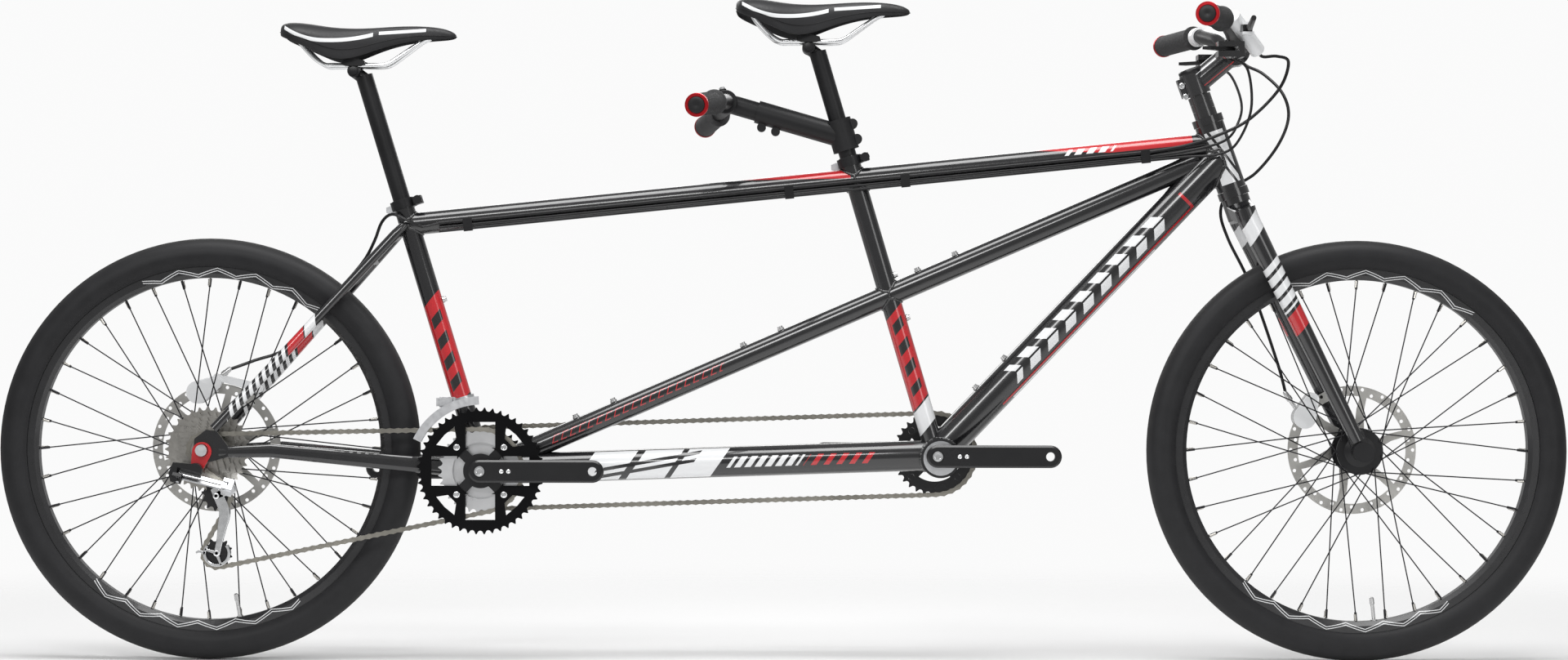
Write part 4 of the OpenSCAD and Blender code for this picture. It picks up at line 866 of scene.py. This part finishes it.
def saddle_rings(width):
    """The closed cross-sections of a saddle, from tail to nose."""
    rings = []
    for x, half, top, low in SADDLE:
        w = half * width / DRAWN_WIDTH
        t, b = top, low
        dip = min(3.0, w * 0.06)
        crown = (top - low) * 0.22
        half_ring = [(0.0, t - dip), (0.10 * w, t - dip * 0.8), (0.26 * w, t - dip * 0.1), (0.45 * w, t),
                     (0.64 * w, t - crown * 0.22), (0.80 * w, t - crown * 0.75), (0.92 * w, t - crown * 1.5),
                     (0.985 * w, t - (t - b) * 0.52), (w, t - (t - b) * 0.74), (0.985 * w, b + 1.2),
                     (0.955 * w, b), (0.915 * w, b + 0.8), (0.87 * w, b + (t - b) * 0.4),
                     (0.70 * w, max(t - 17, b + (t - b) * 0.55)), (0.35 * w, max(t - 15, b + (t - b) * 0.6)),
                     (0.0, max(t - 14, b + (t - b) * 0.62))]
        ring = [(y, z) for y, z in half_ring] + [(-y, z) for y, z in half_ring[-2:0:-1]]
        rings.append([Vector((x, y, z)) * MM for y, z in ring])
    return rings


class TANDEM_OT_saddles(bpy.types.Operator):
    """Builds both saddles: padded cover, base, rails and clamp"""

    bl_idname = "tandem.saddles"
    bl_label = "Saddles"

    def execute(self, context):
        m = finishes()
        width = context.scene.tandem_soft.saddle_width
        for rider, bracket, up, clamp in (("captain", CAPTAIN_BRACKET, CAPTAIN_UP, 0.955),
                                          ("stoker", STOKER_BRACKET, STOKER_UP, 0.916)):
            body = rider + "_post"
            head = on_line(bracket, up, clamp) + Vector((-0.014, 0, 0.006))
            cover = Shape()
            cover.loft([[head + p for p in ring] for ring in saddle_rings(width)])
            skin = leather(rider + " saddle cover", head)
            piece = make(rider + "_saddle_cover", cover, skin, body, 80, [rider + "_saddle"])
            subdivide(piece, 2)
            seam = Shape()
            stations = [(1, row) for row in SADDLE] + [(-1, row) for row in SADDLE[::-1]]
            edge = [head + Vector((x * MM, s * half * width / DRAWN_WIDTH * MM * 1.002,
                                   (low + (top - low) * 0.30) * MM))
                    for s, (x, half, top, low) in stations]
            seam.tube(smooth_line(edge, 3), 0.0007, 6)
            make(rider + "_saddle_seam", seam, m["matte_black"], body)
            rails = Shape()
            for s in (-1, 1):
                path = [head + Vector((x, s * y, z)) * MM for x, y, z in RAIL]
                rails.tube(smooth_line(path, 5), 0.0035, 14)
            make(rider + "_saddle_rails", rails, m["polished"], body)
            clamp_shape = Shape()
            for s in (-1, 1):
                clamp_shape.slab([(head.x + a * MM, head.z + b * MM) for a, b in (
                    (-19, 10), (-17, 16), (-9, 18.5), (9, 18.5), (17, 16), (19, 10), (12, 7), (-12, 7))],
                    head.y + (s * 22 - 7) * MM, head.y + (s * 22 + 7) * MM, 0.0012)
            clamp_shape.turned(head + Vector((0, -0.029, 0)), (0, 1, 0),
                               [(0, 0.003), (0.0006, 0.0066), (0.004, 0.0068), (0.0042, 0.0096),
                                (0.0538, 0.0096), (0.054, 0.0068), (0.0574, 0.0066), (0.058, 0.003)], 20)
            make(rider + "_saddle_clamp", clamp_shape, m["satin_black"], body)
        return {"FINISHED"}


def subdivide(piece, levels):
    """Smooths a mesh once, for good."""
    modifier = piece.modifiers.new("smooth", "SUBSURF")
    modifier.levels = modifier.render_levels = levels
    with bpy.context.temp_override(object=piece, active_object=piece, selected_objects=[piece]):
        bpy.ops.object.modifier_apply(modifier=modifier.name)


def bar_line(clamp, points):
    half = rounded([clamp + Vector(p) * MM for p in points], 0.011)
    return mirrored(half[::-1]) + half[1:]


def grip_profile(length, thick=17.0):
    """Along and radius of a grip, from its inner collar to its rounded end, in metres."""
    rows = [(0, 12.0), (0.4, thick + 2.2), (2.6, thick + 2.6), (3.4, thick + 2.0), (4.2, thick - 1.2)]
    rib = 6.0
    x = rib
    while x < length - 12:
        rows += [(x, thick - 1.5), (x + 0.5, thick - 0.2), (x + 3.2, thick), (x + 3.7, thick - 1.5)]
        x += 4.6
    rows += [(length - 7.5, thick - 1.4), (length - 6.8, thick + 0.3)]
    return [(a * MM, r * MM) for a, r in rows]


def grips(name, line_end, inward, length, body):
    """One ribbed grip with its coloured end ring and plug, at the end of a bar."""
    m = finishes()
    start = line_end + inward * length
    grip = Shape()
    rows = grip_profile(length * 1000)
    grip.turned(start, -inward, rows + [(length - 0.0062, 0.0173), (length - 0.0061, 0.0120)], 40)
    piece = make(name + "_grip", grip, m["grip"], body, 50)
    ring = Shape()
    ring.turned(start, -inward, [(length - back, radius) for back, radius in (
        (0.0060, 0.0120), (0.0059, 0.0176), (0.0054, 0.0180), (0.0012, 0.0180), (0.0004, 0.0174),
        (0.0003, 0.0135), (0.0010, 0.0125))], 40)
    make(name + "_grip_ring", ring, m["grip_ring"], body)
    plug = Shape()
    plug.turned(start, -inward, [(length + out, radius) for out, radius in (
        (-0.0012, 0.0128), (0.0004, 0.0122), (0.0012, 0.0095), (0.0014, 0.004), (0.0006, 0.0015))], 32)
    make(name + "_bar_plug", plug, m["plastic"], body)


class TANDEM_OT_bars(bpy.types.Operator):
    """Builds both handlebars, the stoker's telescopic tube and the grips"""

    bl_idname = "tandem.bars"
    bl_label = "Handlebars"

    def execute(self, context):
        m = finishes()
        ring_colour = tuple(context.scene.tandem_soft.grip_colour)
        m["grip_ring"] = satin("anodised grip ring", ring_colour, 0.28, metallic=0.7)
        captain_line = bar_line(CAPTAIN_CLAMP, CAPTAIN_BAR)
        bar = Shape()
        bar.tube(captain_line, [taper(p, 0.030, 0.047, 0.0159, 0.0111) for p in captain_line], 28)
        make("captain_handlebar", bar, m["satin_black"], "steering", 50, ["captain_bar"])
        stoker_line = bar_line(STOKER_CLAMP, STOKER_BAR)
        bar = Shape()
        bar.tube(stoker_line, [taper(p, 0.028, 0.042, 0.0127, 0.0111) for p in stoker_line], 28)
        make("stoker_handlebar", bar, m["satin_black"], "stoker_bars", 50, ["stoker_bar"])
        for name, run, body in (("captain", captain_line, "steering"),
                                ("stoker", stoker_line, "stoker_bars")):
            for side, end, near in (("left", run[-1], run[-2]), ("right", run[0], run[1])):
                grips(f"{name}_{side}", end, (near - end).normalized(), GRIP_LENGTH, body)
        axis = (STOKER_CLAMP - STEM_ROOT).normalized()
        inner = Shape()
        reach = (STOKER_CLAMP - STEM_ROOT).length
        inner.turned(STEM_ROOT, axis, [(0.062, 0.010), (0.0622, 0.0150), (reach - 0.020, 0.0150),
                                       (reach - 0.012, 0.0148)], 36)
        inner.turned(STOKER_CLAMP + Vector((0, -0.0225, 0)), (0, 1, 0), [
            (0, 0.0129), (0.0001, 0.0175), (0.0012, 0.0186), (0.0438, 0.0186), (0.0449, 0.0175),
            (0.045, 0.0129)], 40)
        for s in (-1, 1):
            base = STOKER_CLAMP + Vector((-0.004, s * 0.013, 0.0145))
            inner.turned(base, (-0.2, 0, 1),
                         [(0, 0.0062), (0.0052, 0.0062), (0.0058, 0.0054), (0.0058, 0.002)], 18)
        make("stoker_bar_clamp", inner, m["matte_black"], "stoker_bars")
        bolts = Shape()
        for s in (-1, 1):
            base = STOKER_CLAMP + Vector((-0.0054, s * 0.013, 0.0206))
            bolts.turned(base, (-0.2, 0, 1), [(0, 0.0046), (0.0024, 0.0046), (0.0030, 0.0038),
                                              (0.0030, 0.002), (0.0014, 0.0018)], 18)
        make("stoker_clamp_bolts", bolts, m["polished"], "stoker_bars")
        return {"FINISHED"}


def taper(p, near, far, thick, thin):
    t = min(1, max(0, (abs(p.y) - near) / (far - near)))
    return thick + (thin - thick) * t * t * (3 - 2 * t)


def pin_loop(node):
    """The chain's pins in order round its loop, from the rollers of the CAD chain."""
    pins = []
    for group in islands(node):
        centre, size = middle_of(group)
        if max(size.x, size.z) < 0.011:
            pins.append(centre)
    ordered = [pins.pop()]
    while pins:
        nearest = min(pins, key=lambda p: (p - ordered[-1]).length)
        pins.remove(nearest)
        ordered.append(nearest)
    return ordered


def link_plate(shape, a, b, side, offset, thick, half, waist):
    """One chain plate: two round ends and a narrower waist."""
    along = (b - a).normalized()
    across = Vector((0, 1, 0))
    up = along.cross(across).normalized()
    across = up.cross(along) * -1
    outline = []
    for k in range(9):
        t = math.radians(120 - 240 * k / 8)
        outline.append(b + half * (math.cos(t) * along + math.sin(t) * up))
    outline.append((a + b) / 2 - waist * up)
    for k in range(9):
        t = math.radians(-60 - 240 * k / 8)
        outline.append(a + half * (math.cos(t) * along + math.sin(t) * up))
    outline.append((a + b) / 2 + waist * up)
    low, high = side * offset, side * (offset + thick)
    shape.loft([[p + across * low for p in outline], [p + across * high for p in outline]])


def build_chain(node, body, plate):
    """Plates and rollers of one chain, on the pins of the frame's own."""
    m = finishes()
    pins = pin_loop(node)
    shape = Shape()
    for i, a in enumerate(pins):
        b = pins[(i + 1) % len(pins)]
        offset = 0.00135 if i % 2 else 0.00135 + plate * 0.62
        for side in (-1, 1):
            link_plate(shape, a, b, side, offset, plate * (0.6 if i % 2 else 0.7), 0.0042, 0.0028)
    rollers = Shape()
    for p in pins:
        rollers.turned(p + Vector((0, -0.0029, 0)), (0, 1, 0), [
            (0, 0.0010), (0.0001, 0.0018), (0.0014, 0.0018), (0.0015, 0.0036), (0.0043, 0.0036),
            (0.0044, 0.0018), (0.0057, 0.0018), (0.0058, 0.0010)], 12)
    make(node + "_plates", shape, m["chain"], body, 30, [node])
    make(node + "_rollers", rollers, m["chain"], body, 30)


class TANDEM_OT_chains(bpy.types.Operator):
    """Builds both chains link by link on the frame's rollers"""

    bl_idname = "tandem.chains"
    bl_label = "Chains"

    def execute(self, context):
        plate = context.scene.tandem_drive.plate
        for chain in ("timing_chain", "drive_chain"):
            build_chain(chain, "frame", plate)
        return {"FINISHED"}


def weld_line(start, direction, radius, post, post_direction, post_radius, n=72):
    """Where a tube's surface meets a post's, as points round the tube."""
    d, u = direction.normalized(), post_direction.normalized()
    flat = d - u * d.dot(u)
    a = flat.dot(flat)
    line = []
    _, across, up = carried([start, start + d])[-1]
    for t in turns(n):
        p = start + radius * (math.cos(t) * across + math.sin(t) * up)
        w = p - post
        w -= u * w.dot(u)
        b, c = 2 * w.dot(flat), w.dot(w) - post_radius ** 2
        root = math.sqrt(max(b * b - 4 * a * c, 0))
        line.append(p + d * ((-b - root) / (2 * a)))
    return line


class TANDEM_OT_welds(bpy.types.Operator):
    """Builds the ripple of each weld where the frame's tubes meet"""

    bl_idname = "tandem.welds"
    bl_label = "Welds"

    def execute(self, context):
        m = finishes()
        y_axis = Vector((0, 1, 0))
        down_end, lateral_end = steer_point(505), steer_point(512)
        lateral = (lateral_end - STOKER_BRACKET).normalized()
        keel = (CAPTAIN_BRACKET - STOKER_BRACKET).normalized()
        down = (down_end - CAPTAIN_BRACKET).normalized()
        eccentric = CAPTAIN_BRACKET + Vector((0.0058, 0, -0.0039))
        head_r, seat_r, top_r = 0.023, 0.0159, 0.0175
        shape = Shape()
        joins = [
            (TOP_REAR + TOP_DIRECTION * 0.9, TOP_DIRECTION, top_r, STEER_FOOT, STEER_UP, head_r),
            (CAPTAIN_BRACKET + down * 0.3, down, 0.0265, STEER_FOOT, STEER_UP, head_r),
            (TOP_REAR + TOP_DIRECTION * 1.1, -TOP_DIRECTION, top_r, CAPTAIN_BRACKET, CAPTAIN_UP, seat_r),
            (TOP_REAR + TOP_DIRECTION * 0.3, TOP_DIRECTION, top_r, CAPTAIN_BRACKET, CAPTAIN_UP, seat_r),
            (TOP_REAR + TOP_DIRECTION * 0.3, -TOP_DIRECTION, top_r, STOKER_BRACKET, STOKER_UP, seat_r),
            (STOKER_BRACKET + lateral * 0.9, -lateral, 0.017, CAPTAIN_BRACKET, CAPTAIN_UP, seat_r),
            (STOKER_BRACKET + lateral * 0.3, lateral, 0.017, CAPTAIN_BRACKET, CAPTAIN_UP, seat_r),
            (STOKER_BRACKET + keel * 0.3, -keel, 0.024, STOKER_BRACKET, y_axis, 0.021),
            (STOKER_BRACKET + keel * 0.3, keel, 0.024, eccentric, y_axis, 0.031),
            (CAPTAIN_BRACKET + down * 0.3, -down, 0.0265, eccentric, y_axis, 0.031),
            (CAPTAIN_BRACKET + CAPTAIN_UP * 0.3, -CAPTAIN_UP, seat_r, eccentric, y_axis, 0.031),
            (STOKER_BRACKET + STOKER_UP * 0.3, -STOKER_UP, seat_r, STOKER_BRACKET, y_axis, 0.021),
            (STOKER_BRACKET + lateral * 0.3, -lateral, 0.017, STOKER_BRACKET, STOKER_UP, 0.024),
        ]
        for join in joins:
            line = weld_line(*join)
            closed = []
            for i, p in enumerate(line):
                q = line[(i + 1) % len(line)]
                closed += [p, p.lerp(q, 0.5)]
            radii = [0.0020 + 0.0005 * abs(math.sin(i * math.pi / 4)) for i in range(len(closed))]
            shape.tube(closed, radii, 8, closed=True)
        make("weld_beads", shape, m["frame"], "frame", 60)
        return {"FINISHED"}


# What joins each brake hose to its caliper: from the hose's end, to the caliper, and the body
HOSE_FITTINGS = [
    ("front_hose_fitting", Vector((0.7955, 0.0462, 0.4190)), Vector((0.8110, 0.0450, 0.3960)), "steering"),
    ("rear_hose_fitting", Vector((-0.8800, 0.0541, 0.4535)), Vector((-0.8965, 0.0530, 0.4390)), "frame"),
]
# Each crankset's rider and bracket, and how far out its right and left arms' faces are
CRANK_FACES = [("stoker", STOKER_BRACKET, 0.077, 0.073), ("captain", CAPTAIN_BRACKET, 0.069, 0.073)]
# The outer chainring's bolts: their circle and their place across
RING_BOLT_CIRCLE, RING_BOLT_Y = 0.052, -0.0600


class TANDEM_OT_fittings(bpy.types.Operator):
    """Builds the stay ends, hose fittings, crank caps, stem cap, small bolts and mech cage plates"""

    bl_idname = "tandem.fittings"
    bl_label = "Fittings"

    def execute(self, context):
        m = finishes()
        stays = Shape()
        for s in (-1, 1):
            top = Vector((TOP_REAR.x - 0.018, s * 0.020, TOP_REAR.z - 0.014))
            foot = REAR_AXLE + Vector((0.017, s * 0.076, 0.0325))
            back = (foot - top).normalized()
            line = smooth_line([top + back * 0.012, top, top + Vector((0.012, -s * 0.0035, 0.0125)),
                                top + Vector((0.020, -s * 0.010, 0.0200))], 5)
            stays.tube(line, [0.0078 - 0.0028 * (i / (len(line) - 1)) ** 2 for i in range(len(line))], 18)
        make("seat_stay_tops", stays, m["frame"], "frame", 60)
        gusset = Shape()
        gusset.slab([(TOP_REAR.x - 0.013, TOP_REAR.z + 0.004), (TOP_REAR.x - 0.020, TOP_REAR.z - 0.010),
                     (TOP_REAR.x - 0.034, TOP_REAR.z - 0.027), (TOP_REAR.x - 0.030, TOP_REAR.z - 0.033),
                     (TOP_REAR.x - 0.006, TOP_REAR.z - 0.016)], -0.0155, 0.0155, 0.003)
        make("seat_stay_gusset", gusset, m["frame"], "frame", 50)
        for name, start, end, body in HOSE_FITTINGS:
            fitting = Shape()
            run = (end - start).normalized()
            reach = (end - start).length
            fitting.turned(start, run, [(-0.004, 0.0030), (0, 0.0042), (0.006, 0.0044), (0.0062, 0.0052),
                                        (0.013, 0.0052), (0.0132, 0.0036), (reach, 0.0034)], 12)
            make(name, fitting, m["steel"], body, 40)
        for rider, bracket, right_y, left_y in CRANK_FACES:
            caps = Shape()
            body = rider + "_crankset"
            for s, y, direction in ((-1, right_y, 1), (1, left_y, -1)):
                outward = (0, s, 0)
                caps.turned(bracket + Vector((0, s * (y - 0.0030), 0)), outward, [
                    (0, 0.0086), (0.0030, 0.0086), (0.0042, 0.0078), (0.0044, 0.0050), (0.0030, 0.0046),
                    (0.0028, 0.0012)], 28)
                for step in (0.034, 0.045):
                    caps.turned(bracket + Vector((direction * step, s * (y - 0.0008), 0.0)), outward,
                                [(0, 0.0034), (0.0012, 0.0034), (0.0016, 0.0028), (0.0010, 0.0016)], 14)
            if rider == "stoker":
                for k in range(4):
                    at = math.radians(45 + 90 * k)
                    spot = bracket + Vector((math.cos(at) * RING_BOLT_CIRCLE, RING_BOLT_Y,
                                             math.sin(at) * RING_BOLT_CIRCLE))
                    caps.turned(spot, (0, -1, 0), [(0, 0.0050), (0.0014, 0.0050), (0.0018, 0.0044),
                                                   (0.0018, 0.0028), (0.0008, 0.0026)], 20)
            make(rider + "_crank_caps", caps, m["polished"], body, 40)
        cap = Shape()
        cap.turned(steer_point(646.5), STEER_UP, [
            (0, 0.0192), (0.0034, 0.0194), (0.0056, 0.0180), (0.0066, 0.0150), (0.0068, 0.0060),
            (0.0056, 0.0054), (0.0056, 0.0015)], 36)
        make("stem_cap", cap, m["satin_black"], "steering", 40)
        clamp_bolts = Shape()
        for along in (613, 631):
            spot = steer_point(along) - STEER_FORWARD * 0.0215 + Vector((0, -0.0094, 0))
            clamp_bolts.turned(spot, (0, -1, 0), [(0, 0.0047), (0.0022, 0.0047), (0.0028, 0.0040),
                                                  (0.0028, 0.0022), (0.0012, 0.0020)], 18)
        make("stem_clamp_bolts", clamp_bolts, m["polished"], "steering", 40)
        cage_plates(m)
        return {"FINISHED"}


def strap(shape, line, widths, y0, y1):
    """A flat bent plate that follows a line in the side view, with eased edges."""
    ease = 0.0005
    rings = []
    for (p, u, v), w in zip(carried(line), widths):
        flat = u if abs(u.y) < 0.9 else v
        side = (flat - Vector((0, flat.y, 0))).normalized()
        ring = []
        for across, y in ((w, y0 + ease), (w, y1 - ease), (w - ease, y1), (-w + ease, y1), (-w, y1 - ease),
                          (-w, y0 + ease), (-w + ease, y0), (w - ease, y0)):
            q = p + side * across
            ring.append(Vector((q.x, y, q.z)))
        rings.append(ring)
    shape.loft(rings)


def cage_plates(m):
    """The rear mech's two sculpted cage plates, with a guard round the lower pulley and pins through both."""
    guide, tension = joint_point("guide_pulley_spin"), joint_point("tension_pulley_spin")
    pivot = joint_point("mech_cage_swing")
    run = (tension - guide).normalized()
    side = Vector((-run.z, 0, run.x))
    reach = (tension - guide).length
    low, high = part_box("mech_cage")[0][1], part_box("mech_cage")[1][1]
    plate = Shape()
    bend = [guide - run * 0.012 - side * 0.004, guide + side * 0.003, guide + run * 0.024 + side * 0.0125,
            guide + run * reach * 0.55 + side * 0.0085, tension - run * 0.016 + side * 0.004,
            tension + run * 0.002]
    line = smooth_line(bend, 6)
    count = len(line) - 1
    widths = [0.0048 + 0.0034 * math.sin(math.pi * min(1, i / count * 1.35)) for i in range(count + 1)]
    guard = [tension + (math.cos(t) * run + math.sin(t) * side) * 0.0190
             for t in (math.radians(-128 + 256 * k / 28) for k in range(29))]
    spokes = [[tension, tension + (math.cos(t) * run + math.sin(t) * side) * 0.0195]
              for t in (math.radians(-110), math.radians(20))]
    hook = smooth_line([tension - side * 0.018, tension - side * 0.026 - run * 0.003,
                        tension - side * 0.032 - run * 0.001], 4)
    hook_widths = [0.0026 - 0.0010 * i / (len(hook) - 1) for i in range(len(hook))]
    outer_face = (low + 0.0008, low + 0.0030)
    for y0, y1 in (outer_face, (high - 0.0030, high - 0.0010)):
        strap(plate, line, widths, y0, y1)
        strap(plate, guard, [0.0021] * len(guard), y0, y1)
        for spoke in spokes:
            strap(plate, spoke, [0.0026, 0.0018], y0, y1)
        strap(plate, [pivot, guide], [0.0072, 0.0052], y0, y1)
    strap(plate, hook, hook_widths, *outer_face)
    for spot in (guide, tension):
        plate.turned(Vector((spot.x, high - 0.0004, spot.z)), (0, -1, 0), [
            (0, 0.0030), (0.0006, 0.0034), (0.0024, 0.0034), (0.0025, 0.0023), (high - low - 0.0030, 0.0023),
            (high - low - 0.0029, 0.0048), (high - low - 0.0006, 0.0048), (high - low, 0.0040),
            (high - low, 0.0024), (high - low - 0.0012, 0.0022)], 24)
    make("mech_cage_plates", plate, m["polished"], "rear_cage", 40, ["mech_cage"])


class TANDEM_OT_wheels(bpy.types.Operator):
    """Builds the spoke nipples and valves"""

    bl_idname = "tandem.wheels"
    bl_label = "Wheel details"

    def execute(self, context):
        m = finishes()
        for end, axle in (("front", FRONT_AXLE), ("rear", REAR_AXLE)):
            body = end + "_wheel"
            nipples = Shape()
            for group in islands(end + "_spokes"):
                far = sorted(group, key=lambda p: Vector((p.x - axle.x, p.z - axle.z)).length)
                outer, inner = middle_of(far[-8:])[0], middle_of(far[:8])[0]
                run = (outer - inner).normalized()
                nipples.turned(outer - run * 0.012, run, [(0, 0.0012), (0.0004, 0.0019), (0.009, 0.0020),
                                                         (0.0092, 0.0026), (0.0105, 0.0026)], 10)
            make(end + "_nipples", nipples, m["brass"], body)
            valve = Shape()
            at = math.radians(-84 if end == "front" else -80)
            out = Vector((math.cos(at), 0, math.sin(at)))
            valve.turned(axle + out * 0.2685, -out, [
                (0, 0.0024), (0.0004, 0.0052), (0.0022, 0.0052), (0.0026, 0.0029), (0.026, 0.0029),
                (0.0264, 0.0038), (0.036, 0.0036), (0.0375, 0.0018)], 16)
            make(end + "_valve", valve, m["steel"], body)
        return {"FINISHED"}


class TANDEM_PT_panel(bpy.types.Panel):
    """Lists what builds the tandem's looks"""

    bl_idname = "TANDEM_PT_panel"
    bl_label = "Tandem bicycle"
    bl_space_type = "VIEW_3D"
    bl_region_type = "UI"
    bl_category = "Tandem"

    def draw(self, context):
        column = self.layout.column()
        for group in (context.scene.tandem_studio, context.scene.tandem_soft, context.scene.tandem_drive):
            for key in group.bl_rna.properties.keys():
                if key not in ("rna_type", "name"):
                    column.prop(group, key)
        for operator in OPERATORS:
            column.operator(operator.bl_idname)


OPERATORS = [TANDEM_OT_stage, TANDEM_OT_cables, TANDEM_OT_finishes, TANDEM_OT_saddles, TANDEM_OT_bars,
             TANDEM_OT_chains, TANDEM_OT_welds, TANDEM_OT_fittings, TANDEM_OT_wheels]
GROUPS = {"tandem_studio": TandemStudio, "tandem_soft": TandemSoft, "tandem_drive": TandemDrive}


def register():
    for cls in [*GROUPS.values(), *OPERATORS, TANDEM_PT_panel]:
        bpy.utils.register_class(cls)
    for name, group in GROUPS.items():
        setattr(bpy.types.Scene, name, bpy.props.PointerProperty(type=group))


def unregister():
    for name in GROUPS:
        delattr(bpy.types.Scene, name)
    for cls in reversed([*GROUPS.values(), *OPERATORS, TANDEM_PT_panel]):
        bpy.utils.unregister_class(cls)


def main():
    register()
    for operator in OPERATORS:
        getattr(bpy.ops.tandem, operator.bl_idname.split(".")[1])()
    bpy.context.view_layer.update()


if __name__ == "__main__":
    main()
